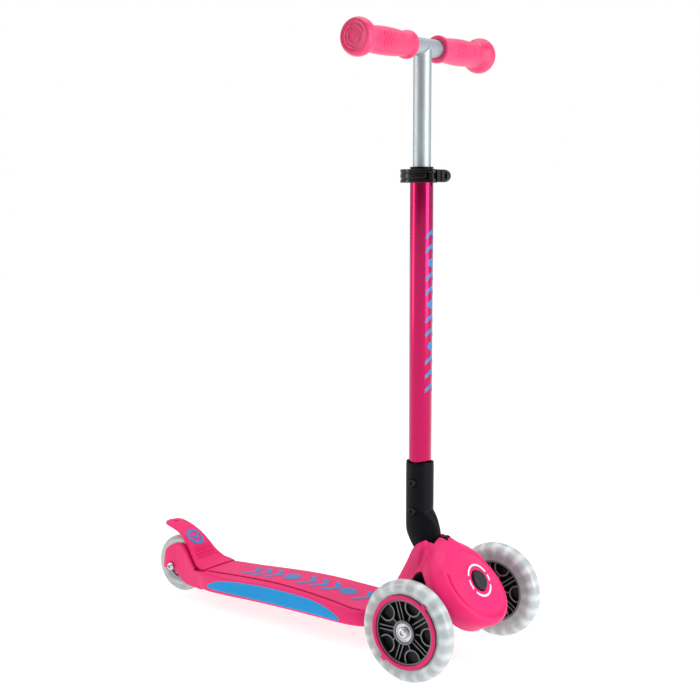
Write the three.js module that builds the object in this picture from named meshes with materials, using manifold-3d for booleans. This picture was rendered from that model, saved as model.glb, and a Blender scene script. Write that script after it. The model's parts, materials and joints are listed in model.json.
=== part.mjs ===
// Folding three-wheel kick scooter for a small child, lean to steer.
// Millimetres. +X forward, +Y to the rider's left, +Z up. The origin is on the ground,
// under the middle of the overall box.
import * as THREE from 'three';
import { mergeVertices } from 'three/addons/utils/BufferGeometryUtils.js';
import Module from 'manifold-3d';

const wasm = await Module();
wasm.setup();

// ---------------------------------------------------------------- driving dimensions

const GAP = 0.3; // between pieces that touch on the real object
const SIDES = { left: 1, right: -1 };

const FRONT_WHEEL = { x: 219.5, y: 102, radius: 60.5, seat: 44.2, facets: 24 };
const REAR_WHEEL = { x: -240, radius: 40, seat: 25, facets: 24 };
const BEARING = { radius: 10.9, bore: 4.3 };
const AXLE_RADIUS = 4;

// Steering axis: it leaves the housing's face at this point and rises forward.
const KING = { x: 255, z: 103, tilt: THREE.MathUtils.degToRad(30), radius: 5 };
// How far back along the steering axis the truck's beam has its middle.
const AXLE_ALONG = -52;

const FOLD = { x: 181.5, z: 126, radius: 15, pin: 4 };
const STEM = { x: 166.5, foot: 161, top: 596.8, radius: 14.3, bore: 12.7 };
const ELBOW = { radius: 17.2, top: 236.6, bolts: [213, 177.5] };
const BAR = { z: 741.6, radius: 11.1, bore: 9.6, half: 133, foot: 470 };
const GRIP = { inner: 30, outer: 138.7, bore: 11.4 };
const CLAMP = { low: 580, high: 596.4, inner: 14.6, outer: 18.6, bolt: 23, lever: -14.3 };

const BRAKE_PIN = { x: -176, z: 41, radius: 2.5 };
const FORK = { inner: 14, outer: 25 };
const TONGUE = { front: 147, half: 30, low: 28, top: 42 };
const SCREWS = [124, 138];
const SCREW_Y = 18;

// Deck sections from the tail to the nose: half width, half width of the raised top,
// height of the top, height of the underside.
const DECK = [
  { x: -184.5, half: 33, crease: 29, top: 49, low: 20 },
  { x: -158.5, half: 41, crease: 28.5, top: 48.5, low: 20.5 },
  { x: -120.5, half: 44.5, crease: 25.5, top: 49.5, low: 22 },
  { x: -80.5, half: 45.5, crease: 27.5, top: 52, low: 23.5 },
  { x: -40.5, half: 46.5, crease: 31, top: 54, low: 24.5 },
  { x: -0.5, half: 48, crease: 35, top: 54.3, low: 25 },
  { x: 39.5, half: 50, crease: 37.5, top: 52.5, low: 25.5 },
  { x: 69.5, half: 52.5, crease: 40, top: 50.5, low: 26 },
  { x: 92, half: 53, crease: 45, top: 50, low: 26.5 },
  { x: 107, half: 51, crease: 45, top: 50, low: 27 },
  { x: 115.5, half: 46.5, crease: 42, top: 50, low: 27 },
];

// Hood sections from its face backward: place along the steering axis, how far the section
// leans back as it rises, half width, heights of its top and lower edge, and how wide its
// neck may be. The first four are rings on the face, inside its rim.
const HOOD = [
  { along: -1.8, lean: 0.04, half: 22, top: 19.5, low: -23.5, neck: 0 },
  { along: -4.6, lean: 0.17, half: 34, top: 31, low: -35.5, neck: 0 },
  { along: -7.2, lean: 0.225, half: 41.5, top: 38, low: -42.5, neck: 0 },
  { along: -8.4, lean: 0.235, half: 44, top: 40.5, low: -45, neck: 0 },
  { along: -7, lean: 0.235, half: 46.5, top: 59, low: -47.5, neck: 23 },
  { along: -9.5, lean: 0.232, half: 50, top: 63, low: -52.5, neck: 23 },
  { along: -15, lean: 0.2, half: 56, top: 66.5, low: -55.5, neck: 23 },
  { along: -21, lean: 0.15, half: 60.5, top: 67.5, low: -54.5, neck: 23 },
  { along: -28, lean: 0.08, half: 61.5, top: 67.5, low: -53.5, neck: 23 },
  { along: -37, lean: 0, half: 57.5, top: 67, low: -52, neck: 23 },
  { along: -52, lean: 0, half: 48, top: 66, low: -30, neck: 24 },
  { along: -68, lean: 0, half: 40, top: 58.5, low: -20, neck: 26 },
];
// The middle of the face, the height over it up to which sections lean, and the height of
// the neck's apex at the steering axis' start.
const FACE = { centre: -1.5, leaning: 31, apex: 45 };

// Heel of the housing, from the stem back to the deck: half width and height of its top
// edges, half width at its foot.
const HEEL = [
  { x: 189.5, edge: 24, top: 141.5, foot: 40 },
  { x: 174.5, edge: 24, top: 131, foot: 40 },
  { x: 166, edge: 24, top: 113, foot: 41 },
  { x: 153.5, edge: 25, top: 93, foot: 42 },
  { x: 139.5, edge: 29, top: 72, foot: 44 },
  { x: 126, edge: 36, top: 57, foot: 45.5 },
  { x: 115.8, edge: 42, top: 50, foot: 46.5 },
];
const HEEL_FOOT = 27;

// The brake along its length: place, height, half width and the height of its flat underside,
// which runs straight over the tyre 42.5 mm from the wheel's axis.
const BRAKE = [
  { x: -169, z: 50, half: 31, under: 46 },
  { x: -178, z: 51.3, half: 31.5, under: 47.3 },
  { x: -187, z: 54, half: 29, under: 50.3 },
  { x: -198, z: 63, half: 24.5, under: 59.85 },
  { x: -208, z: 74, half: 21.5, under: 68.55 },
  { x: -219, z: 84, half: 19, under: 78.1 },
  { x: -230, z: 91, half: 17, under: 87.65 },
  { x: -243, z: 96, half: 16.5, under: 92 },
  { x: -256, z: 99, half: 16, under: 95 },
  { x: -263, z: 99.5, half: 11.5, under: 95.5 },
  { x: -267, z: 99, half: 4, under: 95 },
];

// Elbow sections from its foot up: rear and front edge, as seen from the side.
const ELBOW_SECTIONS = [
  { z: 111.3, back: 178.5, front: 184.5 },
  { z: 116, back: 170.3, front: 192.7 },
  { z: 126, back: 165, front: 196.5 },
  { z: 137, back: 156.8, front: 197 },
  { z: 144, back: 152.6, front: 197.8 },
  { z: 151, back: 150, front: 197.4 },
  { z: 159, back: 149.3, front: 195.6 },
  { z: 167, back: 149.3, front: 192.3 },
  { z: 173, back: 149.3, front: 188 },
  { z: 177.5, back: 149.3, front: 183.7 },
  { z: 234.6, back: 149.3, front: 183.7 },
  { z: 236.6, back: 150.3, front: 182.7 },
];

// One half of the front tyre's section, as radius and distance from its middle plane, from
// the groove for its light ring out to the tread.
const FRONT_TYRE = [[46.8, -4.3], [44.5, -4.3], [44.5, -9], [48, -9.3], [51, -11.6], [58, -8.5], [60.5, -3]];
// The same for the rear tyre, from its bore out.
const REAR_TYRE = [[25, -8.5], [29, -10.8], [35, -10.6], [38.7, -7], [40, -2.5]];
const SPOKES = { front: 5, rear: 6 };

// ---------------------------------------------------------------- finishes

const finish = (color, roughness, metalness = 0) => ({ color, roughness, metalness });
const PINK = finish('#ee3a78', 0.42);
const PINK_METAL = finish('#d3125f', 0.28, 0.85);
const PINK_RUBBER = finish('#f4507f', 0.5);
const BLUE = finish('#1592d6', 0.45);
const BLACK = finish('#16181a', 0.45);
const GRAPHITE = finish('#4a4f54', 0.45);
const RUBBER = finish('#26282b', 0.85);
const CLEAR = finish('#e4eef0', 0.12);
const LAMP = finish('#ffffff', 0.3);
const SILVER = finish('#b9c0c6', 0.35, 0.9);
const STEEL = finish('#9aa0a4', 0.3, 1);

// ---------------------------------------------------------------- solids and booleans

function bare(geometry) {
  const copy = geometry.clone();
  copy.deleteAttribute('normal');
  copy.deleteAttribute('uv');
  return mergeVertices(copy, 1e-4);
}

function signedVolume(geometry) {
  const corners = [new THREE.Vector3(), new THREE.Vector3(), new THREE.Vector3()];
  const { position } = geometry.attributes;
  const index = geometry.index.array;
  let volume = 0;
  for (let i = 0; i < index.length; i += 3) {
    corners.forEach((corner, k) => corner.fromBufferAttribute(position, index[i + k]));
    volume += corners[0].dot(corners[1].clone().cross(corners[2])) / 6;
  }
  return volume;
}

// A copy with merged corners and every face pointing out.
function faceOut(geometry) {
  const copy = bare(geometry);
  if (signedVolume(copy) < 0) {
    copy.setIndex([...copy.index.array].reverse());
  }
  return copy;
}

function toSolid(geometry) {
  const copy = faceOut(geometry);
  return new wasm.Manifold(new wasm.Mesh({
    numProp: 3,
    vertProperties: Float32Array.from(copy.attributes.position.array),
    triVerts: Uint32Array.from(copy.index.array),
  }));
}

function toGeometry(solid) {
  const { vertProperties, triVerts } = solid.getMesh();
  const geometry = new THREE.BufferGeometry();
  geometry.setAttribute('position', new THREE.BufferAttribute(Float32Array.from(vertProperties), 3));
  geometry.setIndex(Array.from(triVerts));
  return geometry;
}

const join = (...geometries) => toGeometry(geometries.map(toSolid).reduce((a, b) => a.add(b)));
const meet = (a, b) => toGeometry(toSolid(a).intersect(toSolid(b)));
const cut = (base, ...tools) => toGeometry(tools.map(toSolid).reduce((a, b) => a.subtract(b), toSolid(base)));

// ---------------------------------------------------------------- shape helpers

const span = (low, high) => [(low + high) / 2, high - low];

// A box between two opposite corners.
function box([x0, y0, z0], [x1, y1, z1]) {
  const [x, width] = span(x0, x1);
  const [y, depth] = span(y0, y1);
  const [z, height] = span(z0, z1);
  return new THREE.BoxGeometry(width, depth, height).translate(x, y, z);
}

// A closed skin through rings of points, with a fan over each end.
function loft(rings) {
  const count = rings[0].length;
  const points = rings.flat();
  const index = [];
  for (let r = 0; r + 1 < rings.length; r += 1) {
    for (let i = 0; i < count; i += 1) {
      const a = r * count + i;
      const b = r * count + ((i + 1) % count);
      index.push(a, b, b + count, a, b + count, a + count);
    }
  }
  [0, rings.length - 1].forEach((r) => {
    const hub = points.length;
    const centre = new THREE.Vector3();
    rings[r].forEach((point) => centre.addScaledVector(point, 1 / count));
    points.push(centre);
    for (let i = 0; i < count; i += 1) {
      const pair = [r * count + i, r * count + ((i + 1) % count)];
      index.push(hub, ...(r === 0 ? pair.reverse() : pair));
    }
  });
  return new THREE.BufferGeometry().setFromPoints(points).setIndex(index);
}

// A solid of revolution about Y from [radius, y] pairs. It is closed on itself, unless it
// starts and ends on the axis, and half a step of turn puts a facet at the very bottom.
function turned(profile, facets = 24) {
  const points = profile.map(([radius, y]) => new THREE.Vector2(radius, y));
  if (profile[0][0] > 0) {
    points.push(points[0].clone());
  }
  return new THREE.LatheGeometry(points, facets).rotateY(Math.PI / facets);
}

const disc = (radius, low, high, facets) => turned(
  [[0, low], [radius, low], [radius, high], [0, high]],
  facets,
);
const ring = (inner, outer, low, high, facets) => turned(
  [[inner, low], [outer, low], [outer, high], [inner, high]],
  facets,
);

function outline(points) {
  return new THREE.Shape(points.map(([x, y]) => new THREE.Vector2(x, y)));
}

// An outline in X and Z, made solid between two values of Y.
function sidePlate(shape, low, high) {
  const options = { depth: high - low, bevelEnabled: false, curveSegments: 8 };
  const plate = new THREE.ExtrudeGeometry(shape, options);
  return plate.rotateX(Math.PI / 2).translate(0, high, 0);
}

// An outline in X and Y, made solid between two heights.
function flatPlate(shape, low, high, curveSegments = 8) {
  return new THREE.ExtrudeGeometry(shape, { depth: high - low, bevelEnabled: false, curveSegments })
    .translate(0, 0, low);
}

// Stands a solid made along Y on end, so that its values of y become heights.
const upright = (geometry, x) => geometry.rotateX(Math.PI / 2).translate(x, 0, 0);

// From the steering frame (left, up from the axis, along the axis) to the scooter's frame.
const sinTilt = Math.sin(KING.tilt);
const cosTilt = Math.cos(KING.tilt);
const kingMatrix = new THREE.Matrix4().makeBasis(
  new THREE.Vector3(0, 1, 0),
  new THREE.Vector3(-sinTilt, 0, cosTilt),
  new THREE.Vector3(cosTilt, 0, sinTilt),
).setPosition(KING.x, 0, KING.z);
const inKing = (geometry) => geometry.applyMatrix4(kingMatrix);

// A round solid on the steering axis between two places along it.
const kingDisc = (radius, low, high, facets) => inKing(disc(radius, low, high, facets).rotateX(Math.PI / 2));

// An outline of [along, up] pairs, made solid to the same distance on both sides.
function kingPlate(points, half) {
  const plate = new THREE.ExtrudeGeometry(outline(points), { depth: 2 * half, bevelEnabled: false });
  return inKing(plate.translate(0, 0, -half).rotateY(-Math.PI / 2));
}

// ---------------------------------------------------------------- scene graph

const group = new THREE.Group();

function add(name, geometry, { color, roughness, metalness }) {
  const material = new THREE.MeshStandardMaterial({ color, roughness, metalness });
  const mesh = new THREE.Mesh(faceOut(geometry), material);
  mesh.name = name;
  group.add(mesh);
}

// ---------------------------------------------------------------- deck

// The deck's skin, wider or narrower at the sides by the amount grow.
function deckSkin(grow) {
  const rings = DECK.map(({ x, half, crease, top, low }) => {
    const edge = half + grow;
    const side = [
      [edge - 7, low], [edge - 1.5, low + 3.5], [edge, (low + top) / 2],
      [edge - 1, top - 6], [edge - 3.5, top - 4], [crease, top - 1.5], [crease - 1.2, top],
    ];
    const other = side.map(([y, z]) => [-y, z]).reverse();
    return [...side, ...other].map(([y, z]) => new THREE.Vector3(x, y, z));
  });
  return loft(rings);
}

// The leaf-shaped outline of a side insert, drawn larger all round by the amount grow.
function insertLeaf(grow) {
  const leaf = new THREE.Shape();
  leaf.moveTo(-158 - grow, 31);
  leaf.bezierCurveTo(-140, 46.5 + grow, -90, 49 + grow, -30, 50 + grow);
  leaf.bezierCurveTo(20, 50.5 + grow, 62, 48.5 + grow, 79 + grow, 36);
  leaf.bezierCurveTo(82 + grow, 32, 79, 28.5 - grow, 71, 28.5 - grow);
  leaf.bezierCurveTo(0, 28.5 - grow, -90, 26.5 - grow, -140, 26 - grow);
  leaf.bezierCurveTo(-152, 26 - grow, -158 - grow, 28, -158 - grow, 31);
  return sidePlate(leaf, -70, 70);
}

// One arm of the rear fork: an arch over the axle with a slot that opens downward.
function forkArm(sign) {
  const arm = new THREE.Shape();
  arm.moveTo(-172, 20);
  arm.lineTo(-205, 19.5);
  arm.quadraticCurveTo(-222, 23, -233, 35);
  arm.absarc(REAR_WHEEL.x, REAR_WHEEL.radius, AXLE_RADIUS + 1.2, -0.6, Math.PI, false);
  arm.lineTo(-251, 35);
  arm.lineTo(-258, 36);
  arm.bezierCurveTo(-257, 55, -250, 72, -229, 74);
  arm.bezierCurveTo(-210, 74, -203, 50, -185, 44);
  arm.lineTo(-172, 44);
  const edge = [[-262, 21], [-250, 25], [-230, 25], [-212, 27.5], [-195, 31], [-180, 34], [-170, 34]];
  const plan = outline([[-262, 13], ...edge, [-170, 13]]);
  const inner = FORK.inner * sign;
  const outer = 36 * sign;
  const side = sidePlate(arm, Math.min(inner, outer), Math.max(inner, outer));
  return meet(side, flatPlate(plan, 0, 100).scale(1, sign, 1));
}

function deckPockets() {
  const bays = [[-150, -112], [-106, -62], [-56, -10], [-4, 42], [48, 92]];
  return bays.flatMap(([back, front]) => Object.values(SIDES).map((sign) => box(
    [back, Math.min(3 * sign, 31 * sign), 0],
    [front, Math.max(3 * sign, 31 * sign), 41],
  )));
}

const screwHoles = () => SCREWS.flatMap((x) => Object.values(SIDES).map(
  (sign) => join(
    upright(disc(2.8, 0, 54, 8), x).translate(0, sign * SCREW_Y, 0),
    upright(disc(5, 0, TONGUE.low + 4, 10), x).translate(0, sign * SCREW_Y, 0),
  ),
));

function makeDeck() {
  const { front, half, low, top } = TONGUE;
  const arms = Object.values(SIDES).map(forkArm);
  const tongue = box([110, -half, low], [front, half, top]);
  const inserts = cut(insertLeaf(GAP), deckSkin(-3));
  const tail = box([-200, -FORK.inner, 0], [-166, FORK.inner, 60]);
  const well = box([-190, -33, 43.5], [-167.2, 33, 60]);
  const pin = disc(BRAKE_PIN.radius + GAP, -40, 40, 12).translate(BRAKE_PIN.x, 0, BRAKE_PIN.z);
  const tools = [inserts, tail, well, pin, ...deckPockets(), ...screwHoles()];
  const deck = cut(join(deckSkin(0), tongue, ...arms), ...tools);
  add('deck_body', deck, PINK);
  Object.entries(SIDES).forEach(([name, sign]) => {
    const side = box([-200, Math.min(0, 80 * sign), 0], [120, Math.max(0, 80 * sign), 80]);
    add(`side_insert_${name}`, meet(cut(meet(insertLeaf(0), deckSkin(0.5)), deckSkin(-2.7)), side), BLUE);
  });
}

// ---------------------------------------------------------------- front housing

// Where a leaning section of the hood is along the steering axis, at a height above it.
const hoodAlong = (up, { along, lean }) => along - lean * Math.min(up - FACE.centre, FACE.leaning);

// Half width of the hood at a height above the steering axis: an oval below, a neck above.
function hoodWidth(up, section) {
  const { half, neck } = section;
  const rise = (up - FACE.centre) / (0.96 * half);
  const oval = half * Math.sqrt(Math.max(0, 1 - rise * rise));
  const taper = 1.1 * (FACE.apex - 1.22 * hoodAlong(up, section) - up);
  const flared = neck * (1 + (66 - up) / 70);
  const upper = Math.min(Math.max(taper, 0), flared);
  return Math.min(half, (oval ** 6 + upper ** 6) ** (1 / 6));
}

function hoodRing(section) {
  const { half, top, low } = section;
  const upper = [0, 0.2, 0.38, 0.55, 0.72, 0.87, 0.96].map((share) => {
    const up = FACE.centre + share * (top - FACE.centre);
    return [hoodWidth(up, section), up];
  });
  upper.push([0.75 * hoodWidth(top, section), top]);
  const steps = 8;
  const lower = [];
  for (let i = 1; i < steps; i += 1) {
    const angle = Math.PI * (i / steps);
    lower.push([half * Math.cos(angle), FACE.centre - (FACE.centre - low) * Math.sin(angle)]);
  }
  const right = upper.map(([y, up]) => [-y, up]).reverse();
  return [...upper.reverse(), ...lower, ...right.reverse()].map(
    ([y, up]) => new THREE.Vector3(y, up, hoodAlong(up, section)),
  );
}

// The hollow behind the hood's face, with a boss left round the steering axis.
function hoodHollow() {
  const sizes = [[-11, 0.235, 38, 26], [-16, 0.235, 46, 34], [-24, 0.1, 50, 36], [-45, 0, 50, 36]];
  const rings = sizes.map(([along, lean, wide, tall]) => {
    const points = [];
    for (let i = 0; i < 18; i += 1) {
      const angle = (i / 18) * 2 * Math.PI;
      const up = FACE.centre + tall * Math.sin(angle);
      points.push(new THREE.Vector3(wide * Math.cos(angle), up, hoodAlong(up, { along, lean })));
    }
    return points;
  });
  return cut(inKing(loft(rings)), kingDisc(14, -60, 10, 20));
}

// The arched channel across the housing in which the truck swings.
function truckChannel() {
  const points = [[-31, -120], [-31, -30], [-37.5, 5], [-38.2, 20], [-40.8, 30], [-45.5, 36], [-51, 38]];
  points.push([-59, 37.5], [-66, 33.5], [-72, 26], [-75, 16], [-75, -120]);
  return kingPlate(points, 120);
}

// The slot between the cheeks, in which the elbow stands and folds back.
function foldSlot() {
  const slot = new THREE.Shape();
  slot.moveTo(199, 175);
  slot.lineTo(199, 125);
  slot.absarc(FOLD.x, FOLD.z, FOLD.radius + 2.2, -0.2, -Math.PI / 2, true);
  slot.lineTo(176, 103);
  slot.lineTo(167, 97.5);
  slot.lineTo(154, 91);
  slot.lineTo(100, 83);
  slot.lineTo(100, 175);
  const half = ELBOW.radius + 0.7;
  return sidePlate(slot, -half, half);
}

const foldButtonPocket = () => inKing(box([-5.3, 51.5, -26.8], [5.3, 80, -17.2]));

function heelRing({ x, edge, top, foot }) {
  const shoulder = Math.max(48, top - 30);
  const side = [
    [foot - 4, HEEL_FOOT], [foot, HEEL_FOOT + 4], [foot, Math.min(44, top - 5)],
    [Math.min(foot, edge + 8), Math.min(shoulder, top - 4)], [edge + 0.5, top - 3], [edge - 3, top],
  ];
  const other = side.map(([y, z]) => [-y, z]).reverse();
  return [...side, ...other].map(([y, z]) => new THREE.Vector3(x, y, z));
}

function makeHousing() {
  const { front, half, top } = TONGUE;
  const hood = inKing(loft(HOOD.map(hoodRing)));
  const heel = loft(HEEL.map(heelRing));
  const pinBore = disc(FOLD.pin + GAP, -22.3, 22.3, 16).translate(FOLD.x, 0, FOLD.z);
  const nutPocket = join(kingDisc(10.5, -93, -78, 16), box([170, -10, 10], [190, 10, 58]));
  const housing = cut(
    join(hood, heel),
    hoodHollow(),
    truckChannel(),
    foldSlot(),
    foldButtonPocket(),
    pinBore,
    nutPocket,
    kingDisc(12.7, -9.5, 20, 24),
    kingDisc(9.2, -22, 0, 20),
    kingDisc(KING.radius + GAP, -120, 0, 16),
    box([100, -half - GAP, 0], [front + GAP, half + GAP, top + GAP]),
    ...SCREWS.flatMap((x) => Object.values(SIDES).map(
      (sign) => upright(disc(2.8, 0, 54, 8), x).translate(0, sign * SCREW_Y, 0),
    )),
  );
  add('front_housing', housing, PINK);
}

// A cap screw along Y: its head's outer face is at the given y and the shank runs from it
// in the direction of sign.
function capScrew({ shank, head, headHeight, length, socket }, sign) {
  const screw = turned([
    [0, 0], [head, 0], [head, headHeight], [shank, headHeight], [shank, length], [0, length],
  ], 12);
  const hex = turned([[0, -1], [socket, -1], [socket, headHeight * 0.55], [0, headHeight * 0.55]], 6);
  const solid = cut(screw, hex);
  return sign > 0 ? solid : solid.rotateX(Math.PI);
}

function makeHousingHardware() {
  const bolt = join(kingDisc(8.5, -21.7, -15, 18), kingDisc(KING.radius, -88, -18, 16));
  const hex = inKing(new THREE.CylinderGeometry(4, 4, 5, 6).rotateX(Math.PI / 2).translate(0, 0, -14.5));
  add('kingpin', cut(bolt, hex), STEEL);
  const nut = new THREE.CylinderGeometry(9, 9, 8, 6).rotateX(Math.PI / 2).translate(0, 0, -82.6);
  add('kingpin_nut', cut(inKing(nut), kingDisc(KING.radius + GAP, -95, -70, 16)), STEEL);
  add('fold_pin', disc(FOLD.pin, -22, 22, 16).translate(FOLD.x, 0, FOLD.z), STEEL);
  let number = 1;
  SCREWS.forEach((x) => Object.values(SIDES).forEach((sign) => {
    const screw = capScrew({ shank: 2.5, head: 4.6, headHeight: 3, length: 22, socket: 2.2 }, 1);
    const place = [x, sign * SCREW_Y, TONGUE.low + 0.5];
    add(`housing_screw_${number}`, screw.rotateX(Math.PI / 2).translate(...place), STEEL);
    number += 1;
  }));
}

function makeLockButton() {
  const cap = inKing(turned([
    [0, -5.5], [12.3, -5.5], [12.3, 1.4], [11.2, 2.6], [7, 3.4], [0, 3.7],
  ], 20).rotateX(Math.PI / 2));
  add('lock_button', join(cap, kingDisc(5, -10.5, 0, 16)), BLACK);
}

function makeFoldButton() {
  const tab = [[-26.4, 55], [-17.6, 55], [-17.6, 62.5], [-19, 64.5], [-24.8, 66.8], [-26.4, 66.3]];
  add('fold_button', kingPlate(tab, 5), BLACK);
}

// ---------------------------------------------------------------- truck

// A round solid parallel to the wheels' axle, placed on it.
const onFrontAxle = (geometry) => geometry.translate(FRONT_WHEEL.x, 0, FRONT_WHEEL.radius);

function makeTruck() {
  const half = [[0, -25], [22, -26], [60, -35], [88, -33], [88, -6], [78, -3], [56, 17], [24, 24], [0, 24]];
  const other = half.slice(1, -1).map(([y, up]) => [-y, up]).reverse();
  const bar = new THREE.ExtrudeGeometry(outline([...half, ...other]), { depth: 20, bevelEnabled: false });
  const boss = kingDisc(18, AXLE_ALONG - 12, AXLE_ALONG + 12, 24);
  const blind = Object.values(SIDES).map(
    (sign) => onFrontAxle(disc(AXLE_RADIUS + GAP, 45, 95, 16).scale(1, sign, 1)),
  );
  const beam = cut(
    join(inKing(bar.translate(0, 0, AXLE_ALONG - 10)), boss),
    kingDisc(11.3, -90, 0, 20),
    ...blind,
  );
  add('truck_beam', beam, BLACK);
  add('steering_bush', cut(kingDisc(11, -63, -41, 20), kingDisc(KING.radius + GAP, -80, -30, 16)), RUBBER);
}

// ---------------------------------------------------------------- wheels

// Facets that touch the ground at the wheel's radius put its corners a little outside.
const toFlats = (geometry, facets) => {
  const out = 1 / Math.cos(Math.PI / facets);
  return geometry.scale(out, 1, out);
};

// Both halves of a profile that is the same on both sides of the wheel's middle plane.
const mirrored = (profile) => [...profile, ...profile.map(([r, y]) => [r, -y]).reverse()];

// A rib across the gap between hub and rim, or between two radii of one spoke angle.
function rib(inner, outer, angle, half, thickness) {
  const bar = box([inner, -half, -thickness / 2], [outer, half, thickness / 2]);
  return bar.rotateY(angle);
}

// A deep bow that bulges inward from the rim, as seen along the axle.
function rimBow(angle, half) {
  const middle = 32;
  const bow = new THREE.Shape();
  bow.moveTo(38, 11);
  bow.absarc(middle, 0, 11, Math.PI / 2, Math.PI * 1.5, false);
  bow.lineTo(38, -11);
  bow.lineTo(38, -9);
  bow.absarc(middle, 0, 9, Math.PI * 1.5, Math.PI / 2, true);
  bow.lineTo(38, 9);
  const plate = new THREE.ExtrudeGeometry(bow, { depth: 2 * half, bevelEnabled: false, curveSegments: 4 });
  return plate.translate(0, 0, -half).rotateX(Math.PI / 2).rotateY(angle);
}

function frontCore() {
  const rim = ring(36.8, FRONT_WHEEL.seat, -9.3, 9.3, FRONT_WHEEL.facets);
  const web = ring(13, 40, -1, 1, FRONT_WHEEL.facets);
  const parts = [rim, web, ring(11.2, 14.5, -10.3, 10.3, 20)];
  for (let i = 0; i < SPOKES.front; i += 1) {
    const angle = (i / SPOKES.front) * 2 * Math.PI;
    parts.push(rib(13, 38, angle + Math.PI / SPOKES.front, 6, 2.2));
    parts.push(rib(13, 22, angle, 6, 2.2));
    parts.push(rimBow(angle, 6));
  }
  return join(...parts);
}

function makeFrontWheel(name, sign) {
  const { facets } = FRONT_WHEEL;
  const place = (geometry) => onFrontAxle(geometry.scale(1, sign, 1)).translate(0, sign * FRONT_WHEEL.y, 0);
  add(`front_tyre_${name}`, place(toFlats(turned(mirrored(FRONT_TYRE), facets), facets)), CLEAR);
  add(`light_ring_${name}`, place(toFlats(ring(44.6, 46.3, -4, 4, facets), facets)), LAMP);
  add(`wheel_core_${name}`, place(frontCore()), GRAPHITE);
  const tabs = [0.9, 0.9 + Math.PI].map((angle) => rib(42, 47.5, angle, 0.9, 5).translate(0, 10.7, 0));
  add(`trim_ring_${name}`, place(join(ring(38.9, 44, 9.6, 11.6, facets), ...tabs)), PINK);
  const seats = { inner: [-10, -3], outer: [3, 10] };
  Object.entries(seats).forEach(([side, [low, high]]) => {
    add(`bearing_${name}_${side}`, place(ring(BEARING.bore, BEARING.radius, low, high, 12)), STEEL);
  });
  add(`axle_magnet_${name}`, place(ring(BEARING.bore, 7, -2.7, 2.7, 12)), STEEL);
  add(`axle_spacer_${name}`, place(ring(BEARING.bore, 7, -13.6, -10.3, 12)), STEEL);
  const bolt = capScrew({ shank: AXLE_RADIUS, head: 7, headHeight: 3.4, length: 67, socket: 3.2 }, -1);
  add(`axle_bolt_${name}`, place(bolt.translate(0, 13.7, 0)), STEEL);
}

function makeRearWheel() {
  const { facets } = REAR_WHEEL;
  const place = (geometry) => geometry.translate(REAR_WHEEL.x, 0, REAR_WHEEL.radius);
  add('rear_tyre', place(toFlats(turned(mirrored(REAR_TYRE), facets), facets)), CLEAR);
  const parts = [ring(20.5, REAR_WHEEL.seat - GAP, -8.3, 8.3, 24), ring(11.2, 13.8, -9.8, 9.8, 16)];
  for (let i = 0; i < SPOKES.rear; i += 1) {
    parts.push(rib(13, 21.5, (i / SPOKES.rear) * 2 * Math.PI, 6, 2.4));
  }
  add('rear_core', place(join(...parts)), SILVER);
  add('bearing_rear_right', place(ring(BEARING.bore, BEARING.radius, -9.8, -2.8, 12)), STEEL);
  add('bearing_rear_left', place(ring(BEARING.bore, BEARING.radius, 2.8, 9.8, 12)), STEEL);
  add('rear_bearing_spacer', place(ring(BEARING.bore, 6.5, -2.5, 2.5, 12)), STEEL);
  const bolt = capScrew({ shank: AXLE_RADIUS, head: 5.6, headHeight: 3.6, length: 55.5, socket: 2.6 }, 1);
  add('rear_axle_bolt', place(bolt.translate(0, -29, 0)), STEEL);
  const nut = new THREE.CylinderGeometry(6.6, 6.6, 4, 6).translate(0, FORK.outer + 2.6, 0);
  add('rear_axle_nut', place(cut(nut, disc(AXLE_RADIUS + GAP, 0, 40, 16))), STEEL);
}

// ---------------------------------------------------------------- brake

function makeBrake() {
  const rings = BRAKE.map(({ x, z, half, under }) => {
    const crown = [[1, -1.6], [0.6, -0.4], [0, 0]];
    const upper = [...crown, [-0.6, -0.4], [-1, -1.6]].map(([share, drop]) => [share * half, z + drop]);
    const lower = [...upper].reverse().map(([y]) => [y * 0.98, under]);
    return [...upper, ...lower].map(([y, height]) => new THREE.Vector3(x, y, height));
  });
  const { x, z, radius } = BRAKE_PIN;
  const lug = new THREE.Shape();
  lug.absarc(x, z, 5.5, Math.PI, 2 * Math.PI, false);
  lug.lineTo(x + 5.5, 49);
  lug.lineTo(x - 5.5, 49);
  const lugs = Object.values(SIDES).map((sign) => sidePlate(lug, 6, 13.4).scale(1, sign, 1));
  const bore = disc(radius + GAP, -40, 40, 12).translate(x, 0, z);
  add('brake', cut(join(loft(rings), ...lugs), bore), PINK);
  add('brake_pin', disc(radius, -29, 29, 12).translate(x, 0, z), STEEL);
}

// A torsion spring wound round the brake's pin, with a leg at each end.
function makeBrakeSpring() {
  const { x, z } = BRAKE_PIN;
  const turns = 4;
  const steps = 8 * turns;
  const coil = 4;
  const path = [new THREE.Vector3(x + coil, -4.8, z - 8)];
  for (let i = 0; i <= steps; i += 1) {
    const angle = (i / 8) * 2 * Math.PI;
    const y = -4 + (8 * i) / steps;
    path.push(new THREE.Vector3(x + coil * Math.cos(angle), y, z + coil * Math.sin(angle)));
  }
  path.push(new THREE.Vector3(x + coil, 4.8, z - 8));
  const wire = new THREE.Shape();
  wire.absarc(0, 0, 0.7, 0, 2 * Math.PI, false);
  const extrudePath = new THREE.CatmullRomCurve3(path);
  const options = { steps: 36, extrudePath, curveSegments: 2, bevelEnabled: false };
  add('brake_spring', new THREE.ExtrudeGeometry(wire, options), STEEL);
}

// ---------------------------------------------------------------- stem

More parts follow.
